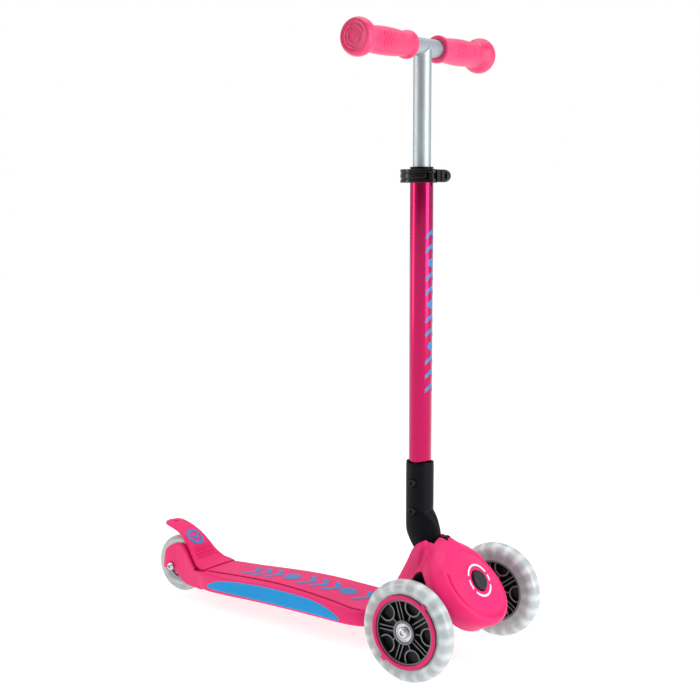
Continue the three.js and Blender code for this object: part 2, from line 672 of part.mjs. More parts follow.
function makeElbow() {
  const rings = ELBOW_SECTIONS.map(({ z, back, front }) => {
    const points = [];
    const sideways = ELBOW.radius - (z === ELBOW.top ? 1 : 0);
    for (let i = 0; i < 18; i += 1) {
      const angle = (i / 18) * 2 * Math.PI;
      const x = (back + front) / 2 + ((front - back) / 2) * Math.cos(angle);
      points.push(new THREE.Vector3(x, sideways * Math.sin(angle), z));
    }
    return points;
  });
  const boltHoles = ELBOW.bolts.flatMap((z) => [
    disc(2.8, -40, 16.5, 8).translate(STEM.x, 0, z),
    disc(5.4, -40, -15.6, 12).translate(STEM.x, 0, z),
  ]);
  const elbow = cut(
    loft(rings),
    upright(disc(STEM.radius + GAP, STEM.foot - GAP, 300, 24), STEM.x),
    disc(FOLD.pin + GAP, -40, 40, 16).translate(FOLD.x, 0, FOLD.z),
    ...boltHoles,
  );
  add('elbow', elbow, BLACK);
  ['upper', 'lower'].forEach((name, i) => {
    const bolt = capScrew({ shank: 2.5, head: 5.1, headHeight: 2.7, length: 34.3, socket: 2.6 }, 1);
    add(`elbow_bolt_${name}`, bolt.translate(STEM.x, -18.6, ELBOW.bolts[i]), BLACK);
  });
}

function makeOuterTube() {
  const wall = upright(ring(STEM.bore, STEM.radius, STEM.foot, STEM.top, 24), STEM.x);
  const holes = ELBOW.bolts.map((z) => disc(2.8, -40, 40, 8).translate(STEM.x, 0, z));
  const slit = join(
    box([STEM.x + 5, -1, 578], [STEM.x + 30, 1, 610]),
    disc(1, 0, 25, 12).rotateZ(-Math.PI / 2).translate(STEM.x + 5, 0, 578),
  );
  add('outer_tube', cut(wall, ...holes, slit), PINK_METAL);
  const bush = turned([
    [11.35, 556], [12.4, 556], [12.4, STEM.top + GAP], [14.4, STEM.top + GAP],
    [14.4, 599.2], [11.35, 599.2],
  ], 24);
  add('tube_bush', bush.rotateX(Math.PI / 2).translate(STEM.x, 0, 0), BLACK);
}

// ---------------------------------------------------------------- clamp

function makeClamp() {
  const { low, high, inner, outer, bolt } = CLAMP;
  const middle = (low + high) / 2;
  const centre = STEM.x;
  const band = upright(ring(inner, outer, low, high, 24), centre);
  const ears = cut(
    box([centre + 10, -8, low + 0.6], [centre + bolt + 5, 10.3, high - 0.6]),
    upright(disc(inner + 1, low - 5, high + 5, 24), centre),
  );
  const slit = box([centre + 5, -1.4, low - 5], [centre + 60, 1.4, high + 5]);
  const bore = disc(2.8, -40, 40, 12).translate(centre + bolt, 0, middle);
  add('clamp_collar', cut(join(band, ears), slit, bore), BLACK);
  const shank = disc(2.5, -11, 21, 10);
  const eye = join(shank, upright(disc(3.9, -4.5, 4.5, 12), 0).translate(0, CLAMP.lever, 0));
  const eyeHole = upright(disc(1.8, -10, 10, 8), 0).translate(0, CLAMP.lever, 0);
  add('clamp_bolt', cut(eye, eyeHole).translate(centre + bolt, 0, middle), STEEL);
  const nut = turned([[2.8, 10.6], [7.1, 10.6], [7.4, 12], [7.4, 17], [6, 20.6], [3, 22], [2.8, 22]], 16);
  add('clamp_nut', nut.translate(centre + bolt, 0, middle), BLACK);
}

// The lever wraps round the near side of the collar and pivots on an upright pin.
function makeClampLever() {
  const { low, high, bolt } = CLAMP;
  const middle = (low + high) / 2;
  const pivot = new THREE.Vector3(STEM.x + bolt, CLAMP.lever, middle);
  const head = new THREE.Shape();
  head.absarc(bolt, CLAMP.lever, 5.8, 0, 2 * Math.PI, false);
  const arm = new THREE.Shape();
  arm.moveTo(bolt + 2, CLAMP.lever - 5.3);
  arm.quadraticCurveTo(13, -25.5, 0, -26);
  arm.absarc(0, 0, 26, -Math.PI / 2, -Math.PI * 0.84, true);
  arm.absarc(0, 0, 21.6, -Math.PI * 0.84, -Math.PI / 2, false);
  arm.quadraticCurveTo(9, -20.6, bolt - 4.2, CLAMP.lever + 3);
  const plates = [head, arm].map((shape) => flatPlate(shape, low, high - 0.2));
  const solid = join(...plates).translate(STEM.x, 0, 0);
  const eyeRoom = box([-4.4, -4.4, -4.9], [4.4, 10, 4.9]);
  const shankSweep = box([-2.9, -10, -2.9], [10, 10, 2.9]);
  const window = join(eyeRoom, shankSweep).translate(...pivot);
  const bore = upright(disc(1.8, low - 5, high + 5, 10), pivot.x).translate(0, pivot.y, 0);
  add('clamp_lever', cut(solid, window, bore), BLACK);
  const pin = upright(disc(1.5, low + 0.6, high - 0.8, 10), pivot.x).translate(0, pivot.y, 0);
  add('clamp_lever_pin', pin, STEEL);
}

// ---------------------------------------------------------------- handlebar

function makeHandlebar() {
  const { z, radius, bore, half, foot } = BAR;
  const bar = join(
    upright(disc(radius, foot, z, 20), STEM.x),
    disc(radius, -half, half, 20).translate(STEM.x, 0, z),
  );
  const hollow = [
    upright(disc(bore, foot - 5, z - 4, 20), STEM.x),
    disc(bore, -half - 5, half + 5, 20).translate(STEM.x, 0, z),
  ];
  add('handlebar', cut(bar, ...hollow), SILVER);
  const { inner, outer, bore: gripBore } = GRIP;
  const profile = [
    [gripBore, inner], [15.2, inner], [16.8, inner + 3], [16.4, inner + 7], [14.2, inner + 11],
    [16.4, 88], [15.7, 111], [20.6, 122.5], [22, 129], [20.8, 135.5], [18.5, outer],
    [0, outer], [0, half + 0.6], [gripBore, half + 0.6],
  ];
  const sleeve = new THREE.LatheGeometry(
    [...profile, profile[0]].map(([r, y]) => new THREE.Vector2(r, y)),
    20,
  );
  Object.entries(SIDES).forEach(([name, sign]) => {
    add(`grip_${name}`, sleeve.clone().scale(1, sign, 1).translate(STEM.x, 0, z), PINK_RUBBER);
  });
}

makeDeck();
makeHousing();
makeHousingHardware();
makeLockButton();
makeFoldButton();
makeTruck();
Object.entries(SIDES).forEach(([name, sign]) => makeFrontWheel(name, sign));
makeRearWheel();
makeBrake();
makeBrakeSpring();
makeElbow();
makeOuterTube();
makeClamp();
makeClampLever();
makeHandlebar();

export default group;
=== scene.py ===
"""A folding three-wheel kick scooter for a small child.

Lengths are in millimetres until a mesh is made. +X is forward, +Y is to the rider's left and +Z is up.
"""

import json
import math

import bmesh
import bpy
from mathutils import Matrix, Vector


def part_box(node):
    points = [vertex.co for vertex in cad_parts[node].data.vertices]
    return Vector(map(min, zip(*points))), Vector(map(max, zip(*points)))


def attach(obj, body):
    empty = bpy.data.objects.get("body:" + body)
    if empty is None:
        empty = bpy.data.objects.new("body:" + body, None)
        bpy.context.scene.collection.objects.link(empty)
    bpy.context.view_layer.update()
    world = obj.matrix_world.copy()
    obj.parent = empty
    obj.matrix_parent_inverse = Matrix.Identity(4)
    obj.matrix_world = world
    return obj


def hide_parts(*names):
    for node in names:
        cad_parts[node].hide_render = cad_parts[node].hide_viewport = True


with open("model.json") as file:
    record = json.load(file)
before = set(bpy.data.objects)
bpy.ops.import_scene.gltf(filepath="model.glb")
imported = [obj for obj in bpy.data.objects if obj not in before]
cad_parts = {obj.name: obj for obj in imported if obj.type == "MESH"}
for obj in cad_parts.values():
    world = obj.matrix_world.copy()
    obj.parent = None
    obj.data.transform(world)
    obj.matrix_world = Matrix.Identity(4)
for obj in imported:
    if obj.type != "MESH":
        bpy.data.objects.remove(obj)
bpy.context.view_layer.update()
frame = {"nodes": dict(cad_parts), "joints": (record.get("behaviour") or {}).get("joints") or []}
MM = 0.001


# ------------------------------------------------------------------ places taken from the frame

def low(node):
    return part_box(node)[0] / MM


def high(node):
    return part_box(node)[1] / MM


def joint(name):
    return next(entry for entry in frame["joints"] if entry["name"] == name)


def pivot(name):
    return Vector(joint(name)["pos_m"]) / MM


SIDES = {"left": 1, "right": -1}
FRONT_AXLE = {name: pivot(f"{name}_wheel_spin") for name in SIDES}
REAR_AXLE = pivot("rear_wheel_spin")
BRAKE_PIN = pivot("brake_press")
FOLD_PIN = pivot("stem_fold")
KING_POINT = pivot("lean_steer")
KING_AXIS = Vector(joint("lean_steer")["axis"]).normalized()
KING_UP = Vector((-KING_AXIS.z, 0, KING_AXIS.x))
LEFT = Vector((0, 1, 0))
STEM_X = (low("outer_tube").x + high("outer_tube").x) / 2
TUBE_RADIUS = high("outer_tube").y
TUBE_FOOT = low("outer_tube").z
TUBE_TOP = high("outer_tube").z
ELBOW_TOP = high("elbow").z
BAR_RADIUS = (high("handlebar").x - low("handlebar").x) / 2
BAR_Z = high("handlebar").z - BAR_RADIUS
BAR_HALF = high("handlebar").y
BAR_FOOT = low("handlebar").z
GRIP_INNER = low("grip_left").y
GRIP_OUTER = high("grip_left").y
CLAMP_LOW = low("clamp_collar").z
CLAMP_TOP = high("clamp_collar").z
CLAMP_MIDDLE = (CLAMP_LOW + CLAMP_TOP) / 2
LEVER_PIN = pivot("clamp_lever_turn")
ELBOW_BOLTS = [(low(f"elbow_bolt_{n}").z + high(f"elbow_bolt_{n}").z) / 2 for n in ("upper", "lower")]


# ------------------------------------------------------------------ shape tables

# Deck from tail to nose: place, half width, half width of the raised top, heights of top and underside.
DECK = [
    (-184.5, 33, 29, 49, 20), (-158.5, 41, 28.5, 48.5, 20.5), (-120.5, 44.5, 25.5, 49.5, 22),
    (-80.5, 45.5, 27.5, 52, 23.5), (-40.5, 46.5, 31, 54, 24.5), (-0.5, 48, 35, 54.3, 25),
    (39.5, 50, 37.5, 52.5, 25.5), (69.5, 52.5, 40, 50.5, 26), (92, 53, 45, 50, 26.5),
    (107, 51, 45, 50, 27), (115.5, 46.5, 42, 50, 27),
]

# Hood from its face backward: place along the steering axis, lean, half width, heights of the top
# and lower edge, and the neck's greatest width. The first four are rings on the face, inside its rim.
HOOD = [
    (-1.8, 0.04, 22, 19.5, -23.5, 0), (-4.6, 0.17, 34, 31, -35.5, 0), (-7.2, 0.225, 41.5, 38, -42.5, 0),
    (-8.6, 0.235, 44.2, 40.5, -45.2, 0), (-6.9, 0.235, 46.5, 59, -47.5, 23), (-9.5, 0.232, 50, 63, -52.5, 23),
    (-15, 0.2, 56, 66.5, -55.5, 23), (-21, 0.15, 60.5, 67.5, -54.5, 23.5), (-28, 0.08, 61.5, 67.5, -53.5, 24),
    (-37, 0, 57.5, 67, -52, 25), (-52, 0, 48, 66, -30, 25), (-66, 0, 40, 57, -20, 26),
    (-80, 0, 31, 43, -12, 22),
]
FACE_CENTRE = -1.5
FACE_SQUASH = 0.96
FACE_LEANING = 31
LEANING_EASE = 8
NECK_APEX = 45

# The groove round the hood's face: its radius, place along the steering axis, lean and wire radius.
RIM_GROOVE = (45.4, -7.9, 0.235, 2.3)
WELL_FLOOR = -13

# Heel of the housing: place, half width and height of its top edge, half width at its foot.
HEEL = [
    (189.5, 26, 146.5, 40), (174.5, 26.5, 137.5, 40), (166, 26.5, 121, 41), (153.5, 27, 97, 42),
    (139.5, 29, 72, 44), (126, 36, 57, 45.5), (115.8, 42, 50, 46.5),
]
HEEL_FOOT = 27

# Brake along its upper face: place, height, half width.
BRAKE = [
    (-169, 50, 31), (-178, 51.3, 31.5), (-187, 54, 29), (-198, 63, 24.5), (-208, 74, 21.5), (-219, 84, 19),
    (-230, 91, 17), (-243, 96, 16.5), (-256, 99, 15.5), (-263, 99.5, 11.5), (-266.5, 99, 5),
]
BRAKE_THICKNESS = 4

# Elbow from its foot up: height, then its rear edge, its widest place and its front edge.
ELBOW = [
    (111.3, 178.5, 181.5, 184.5), (116, 170.3, 181.5, 192.7), (126, 165, 181, 196.5),
    (137, 156.8, 176, 197), (144, 152.6, 173, 197.8), (151, 150, 169, 197.4),
    (159, 149.3, 167, 195.6), (167, 149.3, 166.5, 192.3), (173, 149.3, 166.5, 188),
    (177.5, 149.3, 166.5, 183.7), (185, 149.3, 166.5, 183.7), (ELBOW_TOP - 1.5, 149.3, 166.5, 183.7),
    (ELBOW_TOP, 150.3, 166.5, 182.7),
]
ELBOW_RADIUS = 17.2


# ------------------------------------------------------------------ curves

def smooth_rows(rows, steps):
    """Rows of numbers joined by Catmull-Rom curves, with this many steps from each row to the next."""
    result = []
    last = len(rows) - 1
    for i in range(last):
        a, b, c, d = rows[max(i - 1, 0)], rows[i], rows[i + 1], rows[min(i + 2, last)]
        for step in range(steps):
            t = step / steps
            result.append([
                0.5 * (
                    2 * q + (r - p) * t + (2 * p - 5 * q + 4 * r - s) * t ** 2
                    + (3 * q - p - 3 * r + s) * t ** 3
                )
                for p, q, r, s in zip(a, b, c, d)
            ])
    result.append(list(rows[last]))
    return result


def at(rows, x):
    """The row at x, by straight lines between rows whose first number rises or falls."""
    for a, b in zip(rows, rows[1:]):
        if min(a[0], b[0]) <= x <= max(a[0], b[0]):
            t = (x - a[0]) / (b[0] - a[0])
            return [p + (q - p) * t for p, q in zip(a, b)]
    return list(rows[0] if abs(x - rows[0][0]) < abs(x - rows[-1][0]) else rows[-1])


def arc(x, y, radius, start, end, steps):
    """Points on an arc, with angles in degrees."""
    angles = [math.radians(start + (end - start) * i / steps) for i in range(steps + 1)]
    return [(x + radius * math.cos(a), y + radius * math.sin(a)) for a in angles]


def turns(count):
    """This many angles, spaced evenly round a circle."""
    return [2 * math.pi * i / count for i in range(count)]


def bezier(a, b, c, d, steps):
    """Points on a cubic curve, without its last one."""
    result = []
    for i in range(steps):
        t = i / steps
        weights = ((1 - t) ** 3, 3 * t * (1 - t) ** 2, 3 * t * t * (1 - t), t ** 3)
        result.append(tuple(sum(w * p[k] for w, p in zip(weights, (a, b, c, d))) for k in (0, 1)))
    return result


def ease(t):
    t = min(max(t, 0), 1)
    return t * t * (3 - 2 * t)


# ------------------------------------------------------------------ shapes

class Shape:
    """Points in millimetres and the faces between them."""

    def __init__(self, points, faces):
        self.points = [Vector(p) for p in points]
        self.faces = faces

    def __add__(self, other):
        start = len(self.points)
        moved = [tuple(i + start for i in face) for face in other.faces]
        return Shape(self.points + other.points, list(self.faces) + moved)

    def moved(self, *offset):
        return self.through(Matrix.Translation(offset))

    def through(self, matrix):
        return Shape([matrix @ p for p in self.points], self.faces)

    def turned(self, angle):
        return self.through(Matrix.Rotation(angle, 4, "Z"))

    def mapped(self, place):
        return Shape([place(*p) for p in self.points], self.faces)


def joined(parts):
    return sum(parts[1:], parts[0])


def rings(loops, closed=False):
    """A skin over loops of points. It is closed on itself, or has a cap over its first and last loop."""
    count = len(loops[0])
    faces = []
    spans = len(loops) if closed else len(loops) - 1
    for r in range(spans):
        a, b = r * count, ((r + 1) % len(loops)) * count
        faces += [(a + i, a + (i + 1) % count, b + (i + 1) % count, b + i) for i in range(count)]
    if not closed:
        faces += [tuple(range(count)), tuple(reversed(range((len(loops) - 1) * count, len(loops) * count)))]
    return Shape([p for loop in loops for p in loop], faces)


ON_AXIS = 1e-4  # the radius of a loop on the axis, whose points make() merges


def lathe(profile, segments=64, closed=False):
    """A solid of revolution about Z from (radius, height) pairs; closed for a ring's section."""
    loops = []
    for radius, height in profile:
        radius = max(radius, ON_AXIS)
        loops.append([(radius * math.cos(a), radius * math.sin(a), height) for a in turns(segments)])
    return rings(loops, closed)


def disc(radius, bottom, top, segments=64):
    return lathe([(radius, bottom), (radius, top)], segments)


def tube(inner, outer, bottom, top, segments=64):
    return lathe([(inner, bottom), (outer, bottom), (outer, top), (inner, top)], segments, closed=True)


def prism(outline, bottom, top):
    """An outline in X and Y made solid between two heights."""
    return rings([[(x, y, z) for x, y in outline] for z in (bottom, top)])


def block(x0, y0, z0, x1, y1, z1):
    return prism([(x0, y0), (x1, y0), (x1, y1), (x0, y1)], z0, z1)


# A shape made with its own Z along the axle, so that its X and Y lie in the side view.
ALONG_Y = Matrix(((1, 0, 0, 0), (0, 0, 1, 0), (0, 1, 0, 0), (0, 0, 0, 1)))
# From (left, up from the steering axis, along it) to the scooter's frame.
KING = Matrix.Translation(KING_POINT) @ Matrix((LEFT, KING_UP, KING_AXIS)).transposed().to_4x4()
FROM_KING = KING.inverted()


def side_prism(outline, right, left):
    """An outline in X and Z made solid between two values of Y."""
    return prism(outline, right, left).through(ALONG_Y)


def king_prism(outline, half):
    """An outline of (along, up) pairs in the steering frame, made solid to both sides."""
    return prism(outline, -half, half).mapped(lambda along, up, y: KING @ Vector((y, up, along)))


def round_axle(centre, sign=1):
    """Places a shape round an axle, with its Z toward the left, or toward the right if sign is -1."""
    return lambda shape: shape.mapped(lambda x, y, z: centre + Vector((x, sign * z, y)))


def on_stem(shape):
    return shape.moved(STEM_X, 0, 0)


def across(shape, x, z):
    """A solid of revolution laid along Y at this place."""
    return shape.through(ALONG_Y).moved(x, 0, z)


def swept(path, radius, sides=12, closed=False):
    """A round wire along a path."""
    loops = []
    count = len(path)
    points = [Vector(p) for p in path]
    for i, point in enumerate(points):
        before = points[(i - 1) % count] if closed or i > 0 else point
        after = points[(i + 1) % count] if closed or i < count - 1 else point
        along = (after - before).normalized()
        first = along.cross(Vector((0.3, 0.2, 0.9))).normalized()
        second = along.cross(first)
        loops.append([point + radius * (math.cos(a) * first + math.sin(a) * second) for a in turns(sides)])
    return rings(loops, closed)


# ------------------------------------------------------------------ objects

def add_object(name, data):
    obj = bpy.data.objects.new(name, data)
    bpy.context.scene.collection.objects.link(obj)
    return obj


def make(name, shape, smooth=30):
    """A mesh object from a shape, with its faces turned outwards and its sharp edges kept."""
    mesh = bpy.data.meshes.new(name)
    mesh.from_pydata([p * MM for p in shape.points], [], shape.faces)
    work = bmesh.new()
    work.from_mesh(mesh)
    bmesh.ops.remove_doubles(work, verts=work.verts, dist=1e-6)
    bmesh.ops.recalc_face_normals(work, faces=work.faces)
    work.to_mesh(mesh)
    work.free()
    obj = add_object(name, mesh)
    shade(obj, smooth)
    return obj


def shade(obj, angle=30):
    """Smooth shading, with edges sharper than this many degrees left sharp."""
    obj.data.shade_smooth()
    obj.data.set_sharp_from_angle(angle=math.radians(angle))


def modify(obj, kind, **settings):
    """Adds a modifier and applies it."""
    modifier = obj.modifiers.new(kind, kind)
    for key, value in settings.items():
        setattr(modifier, key, value)
    graph = bpy.context.evaluated_depsgraph_get()
    mesh = bpy.data.meshes.new_from_object(obj.evaluated_get(graph))
    obj.modifiers.clear()
    old = obj.data
    obj.data = mesh
    bpy.data.meshes.remove(old)
    mesh.name = obj.name


def combine(obj, operation, tool):
    """Applies a boolean with another object, which is then deleted."""
    modify(obj, "BOOLEAN", operation=operation, solver="MANIFOLD", object=tool)
    bpy.data.objects.remove(tool)


def fuse(obj, *shapes):
    for shape in shapes:
        combine(obj, "UNION", make("tool", shape))


def carve(obj, *shapes):
    for shape in shapes:
        combine(obj, "DIFFERENCE", make("tool", shape))


def melt(obj, grain, soften):
    """Remeshes at this grain and smooths this many times."""
    modify(obj, "REMESH", mode="VOXEL", voxel_size=grain * MM)
    modify(obj, "SMOOTH", factor=0.5, iterations=soften)


def mould(obj, grain, soften, keep):
    """Rounds every edge as a moulding's are, and keeps this share of the faces."""
    melt(obj, grain, soften)
    modify(obj, "DECIMATE", ratio=keep)
    obj.data.shade_smooth()


def bevel(obj, width, segments=2, angle=30):
    modify(
        obj, "BEVEL", width=width * MM, segments=segments, limit_method="ANGLE",
        angle_limit=math.radians(angle), use_clamp_overlap=True,
    )
    shade(obj, angle)
    return obj


def finish_piece(obj, body, slot, material, *nodes):
    """Gives a piece its material, the body it rides on and the CAD nodes it stands for."""
    obj.data.materials.clear()
    obj.data.materials.append(material)
    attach(obj, body)
    if nodes:
        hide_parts(*nodes)


# ------------------------------------------------------------------ materials

class Nodes:
    """A node tree, with short ways to add to it."""

    def __init__(self, owner, output):
        owner.use_nodes = True
        self.tree = owner.node_tree
        self.tree.nodes.clear()
        self.output = self.add(output)

    def add(self, kind, **settings):
        node = self.tree.nodes.new(kind)
        for key, value in settings.items():
            setattr(node, key, value)
        return node

    def link(self, output, node, socket):
        self.tree.links.new(output, node.inputs[socket])

    def fill(self, node, values):
        for socket, value in values.items():
            if isinstance(value, bpy.types.NodeSocket):
                self.link(value, node, socket)
            else:
                node.inputs[socket].default_value = value
        return node

    def math(self, operation, *values):
        return self.fill(self.add("ShaderNodeMath", operation=operation), dict(enumerate(values))).outputs[0]

    def spread(self, value, from_low, from_high, to_low, to_high, kind="LINEAR"):
        node = self.add("ShaderNodeMapRange", interpolation_type=kind)
        return self.fill(node, dict(enumerate((value, from_low, from_high, to_low, to_high)))).outputs[0]


class Surface(Nodes):
    """A material's node tree."""

    def __init__(self, name):
        self.material = bpy.data.materials.new(name)
        super().__init__(self.material, "ShaderNodeOutputMaterial")
        self.shader = self.add("ShaderNodeBsdfPrincipled")
        self.link(self.shader.outputs[0], self.output, "Surface")
        self.where = self.add("ShaderNodeTexCoord").outputs["Object"]

    def stretched(self, x, y, z):
        """The place on the surface, scaled along each axis."""
        node = self.add("ShaderNodeVectorMath", operation="MULTIPLY")
        return self.fill(node, {0: self.where, 1: (x, y, z)}).outputs[0]

    def noise(self, scale, detail=2, roughness=0.5, vector=None):
        values = {"Vector": vector or self.where, "Scale": scale, "Detail": detail, "Roughness": roughness}
        return self.fill(self.add("ShaderNodeTexNoise"), values).outputs["Fac"]

    def blend(self, share, first, second):
        node = self.add("ShaderNodeMix", data_type="RGBA")
        colours = [c if isinstance(c, bpy.types.NodeSocket) else (*c, 1) for c in (first, second)]
        return self.fill(node, {0: share, 6: colours[0], 7: colours[1]}).outputs[2]

    def uneven(self, value, colour, vary):
        """A colour a little darker where the value is low and lighter where it is high."""
        share = self.spread(value, 0.3, 0.7, 0, 1)
        return self.blend(share, shift(colour, -vary), shift(colour, vary))

    def bump(self, height, depth):
        values = {"Height": height, "Distance": depth * MM, "Strength": 1.0}
        return self.fill(self.add("ShaderNodeBump"), values).outputs[0]

    def shaded(self, values):
        """The material, with these values on its shader."""
        self.fill(self.shader, values)
        return self.material


def shift(colour, amount):
    return tuple(min(1, max(0, c * (1 + amount))) for c in colour)


def plastic(name, colour, roughness=0.42, grain=1400, depth=0.02, specular=0.5, coat=0.0, vary=0.05):
    """Injection-moulded plastic: an even colour with faint flow marks and a fine eroded grain."""
    nodes = Surface(name)
    return nodes.shaded({
        "Base Color": nodes.uneven(nodes.noise(9, 3, 0.6), colour, vary),
        "Roughness": nodes.spread(nodes.noise(55, 4, 0.65), 0.25, 0.75, roughness - 0.05, roughness + 0.06),
        "Normal": nodes.bump(nodes.noise(grain, 2, 0.6), depth),
        "Specular IOR Level": specular,
        "Coat Weight": coat,
        "Coat Roughness": 0.2,
    })


def brushed(name, colour, roughness, along=(1, 1, 0.02), scale=2600, depth=0.006, vary=0.06, coat=0.0):
    """Metal with fine lines drawn along one way."""
    nodes = Surface(name)
    lines = nodes.noise(scale, 2, 0.5, nodes.stretched(*along))
    return nodes.shaded({
        "Base Color": nodes.uneven(lines, colour, vary),
        "Metallic": 1.0,
        "Roughness": nodes.spread(nodes.noise(30, 3, 0.6), 0.3, 0.7, roughness - 0.03, roughness + 0.05),
        "Normal": nodes.bump(lines, depth),
        "Coat Weight": coat,
        "Coat Roughness": 0.12,
    })


def printed(name, colour, roughness=0.4):
    """A thin printed or inlaid layer, with a little unevenness in its ink."""
    return plastic(name, colour, roughness, grain=900, depth=0.01, vary=0.08)


LAMP_COUNT = 20


def wheel_lights(nodes):
    """Soft patches spaced evenly round a front wheel, from 0 between them to 1 at their middles."""
    centre = FRONT_AXLE["left"] * MM
    local = nodes.add("ShaderNodeVectorMath", operation="SUBTRACT")
    nodes.fill(local, {0: nodes.where, 1: (centre.x, 0, centre.z)})
    parts = nodes.fill(nodes.add("ShaderNodeSeparateXYZ"), {0: local.outputs[0]})
    across_x, _, up = parts.outputs
    angle = nodes.math("ARCTAN2", up, across_x)
    wave = nodes.math("COSINE", nodes.math("MULTIPLY", angle, float(LAMP_COUNT)))
    uneven = nodes.math("MULTIPLY", nodes.noise(38, 2), 1.5)
    squares = [nodes.math("MULTIPLY", value, value) for value in (up, across_x)]
    inner = nodes.spread(nodes.math("SQRT", nodes.math("ADD", *squares)), 0.047, 0.053, 0.25, 1)
    patches = nodes.spread(nodes.math("ADD", wave, uneven), 0.0, 2.6, 0, 1, "SMOOTHSTEP")
    return nodes.math("MULTIPLY", patches, inner)


def clear_tyre(name, lit):
    """Clear cast polyurethane, with painted light and shade: pale in the middle, grey at its edges by painted
    shade, lighter over each lamp by painted lamp light.
    """
    nodes = Surface(name)
    cloud = nodes.noise(60, 4, 0.6)
    # Painted shade: rim greys the colour towards the tyre's edges as the camera sees them, as the darkness a
    # clear tyre shows there.
    edge = nodes.add("ShaderNodeLayerWeight")
    edge.inputs["Blend"].default_value = 0.3
    rim = nodes.spread(edge.outputs["Facing"], 0.45, 0.95, 0, 0.9)
    # Painted light: the lamps' light, as a lighter colour over each lamp and, on the lit tyres, a faint glow;
    # the plain tyre gets weaker lighter patches only.
    painted_lamp_glow = nodes.math("MULTIPLY", wheel_lights(nodes), 0.75 if lit else 0.2)
    # The body's grey is partly the tyre's own tint and partly painted shade, as the darkness a clear tyre shows;
    # the cloud mottles it.
    body = nodes.blend(nodes.spread(cloud, 0.35, 0.65, 0, 1), (0.47, 0.53, 0.54), (0.60, 0.66, 0.67))
    body = nodes.blend(painted_lamp_glow, body, (0.84, 0.88, 0.89))
    return nodes.shaded({
        "Base Color": nodes.blend(rim, body, (0.12, 0.145, 0.15)),
        "Roughness": nodes.spread(cloud, 0.3, 0.7, 0.12, 0.24),
        "Normal": nodes.bump(nodes.noise(420, 2), 0.02),
        "Transmission Weight": 0.3,
        "IOR": 1.42,
        "Coat Weight": 0.4,
        "Coat Roughness": 0.08,
        # Painted light: the tyre glows over each lamp.
        "Emission Color": (0.92, 0.97, 1.0, 1),
        "Emission Strength": nodes.math("MULTIPLY", painted_lamp_glow, 0.14 if lit else 0.0),
    })


def lamp_material():
    """A ring of lamps under the tyre, brighter at each lamp."""
    nodes = Surface("lamp_ring")
    patches = wheel_lights(nodes)
    return nodes.shaded({
        "Base Color": nodes.blend(patches, (0.20, 0.22, 0.23), (0.85, 0.88, 0.90)),
        "Roughness": nodes.spread(nodes.noise(200), 0.3, 0.7, 0.3, 0.45),
        "Emission Color": (0.93, 0.98, 1.0, 1),
        "Emission Strength": nodes.math("MULTIPLY", patches, 0.35),
    })


def grip_material():
    """Soft vinyl, almost even in colour."""
    nodes = Surface("grip_vinyl")
    swirl = nodes.noise(26, 3, 0.5)
    share = nodes.spread(swirl, 0.3, 0.7, 0, 1)
    return nodes.shaded({
        "Base Color": nodes.blend(share, (0.66, 0.026, 0.125), (0.80, 0.060, 0.180)),
        "Roughness": nodes.spread(swirl, 0.3, 0.7, 0.34, 0.42),
        "Normal": nodes.bump(nodes.noise(900, 2), 0.01),
        "Subsurface Weight": 0.2,
        "Subsurface Radius": (1.0, 0.35, 0.4),
        "Subsurface Scale": 0.004,
        "Specular IOR Level": 0.35,
    })


PINK = plastic("pink_nylon", (0.79, 0.014, 0.150), 0.46, specular=0.28)
PINK_TRIM = plastic("pink_trim", (0.72, 0.020, 0.145), 0.42, specular=0.25)
# Painted shade: a dark pink for the thin strip laid in the deck's groove as its shadow.
PINK_GROOVE_SHADE = plastic("painted_groove_shade", (0.30, 0.003, 0.045), 0.6, specular=0.1)
BLUE = plastic("blue_nylon", (0.0, 0.285, 0.66), 0.4, specular=0.22)
BLUE_PRINT = printed("blue_print", (0.02, 0.20, 0.50))
WHITE_PRINT = printed("white_print", (0.80, 0.72, 0.76))
BLACK = plastic("black_nylon", (0.0035, 0.004, 0.0055), 0.42, grain=1800, depth=0.012, specular=0.09)
BLACK_GLOSS = plastic("black_gloss", (0.004, 0.004, 0.005), 0.2, depth=0.004, specular=0.3, coat=0.15)
BUTTON = plastic("button_black", (0.018, 0.020, 0.023), 0.5, depth=0.02, specular=0.25)
# Lit and shaded copies of the core's grey plastic: a lighter grey painted on faces that look out, as lit, and
# near black painted on the pockets, as their shade.
CORE_LIT = plastic("core_painted_lit", (0.155, 0.165, 0.18), 0.4, specular=0.35)
CORE_SHADED = plastic("core_painted_shade", (0.007, 0.007, 0.008), 0.4, specular=0.25)
REAR_CORE = plastic("rear_core_grey", (0.30, 0.32, 0.34), 0.35)
RUBBER = plastic("bush_rubber", (0.02, 0.02, 0.022), 0.85, grain=500, depth=0.05)
ANODISED = brushed("pink_anodised", (0.47, 0.002, 0.085), 0.2, vary=0.03, coat=0.35)
SILVER = brushed("silver_anodised", (0.44, 0.495, 0.53), 0.5, vary=0.03)
STEEL = brushed("zinc_steel", (0.60, 0.61, 0.62), 0.25, along=(1, 0.05, 1), scale=1200)
BLACK_STEEL = brushed("black_steel", (0.02, 0.02, 0.022), 0.4, along=(1, 0.05, 1), scale=900)
LIT_TYRE = clear_tyre("clear_tyre_lit", True)
PLAIN_TYRE = clear_tyre("clear_tyre_plain", False)
LAMPS = lamp_material()
GRIP = grip_material()


# ------------------------------------------------------------------ front housing

def hood_along(up, along, lean):
    """Where a leaning section of the hood is along the steering axis, at a height above it."""
    reach = up - FACE_CENTRE
    if reach >= FACE_LEANING - LEANING_EASE:
        left = math.exp(-(reach - FACE_LEANING + LEANING_EASE) / LEANING_EASE)
        reach = FACE_LEANING - LEANING_EASE * left
    return along - lean * reach


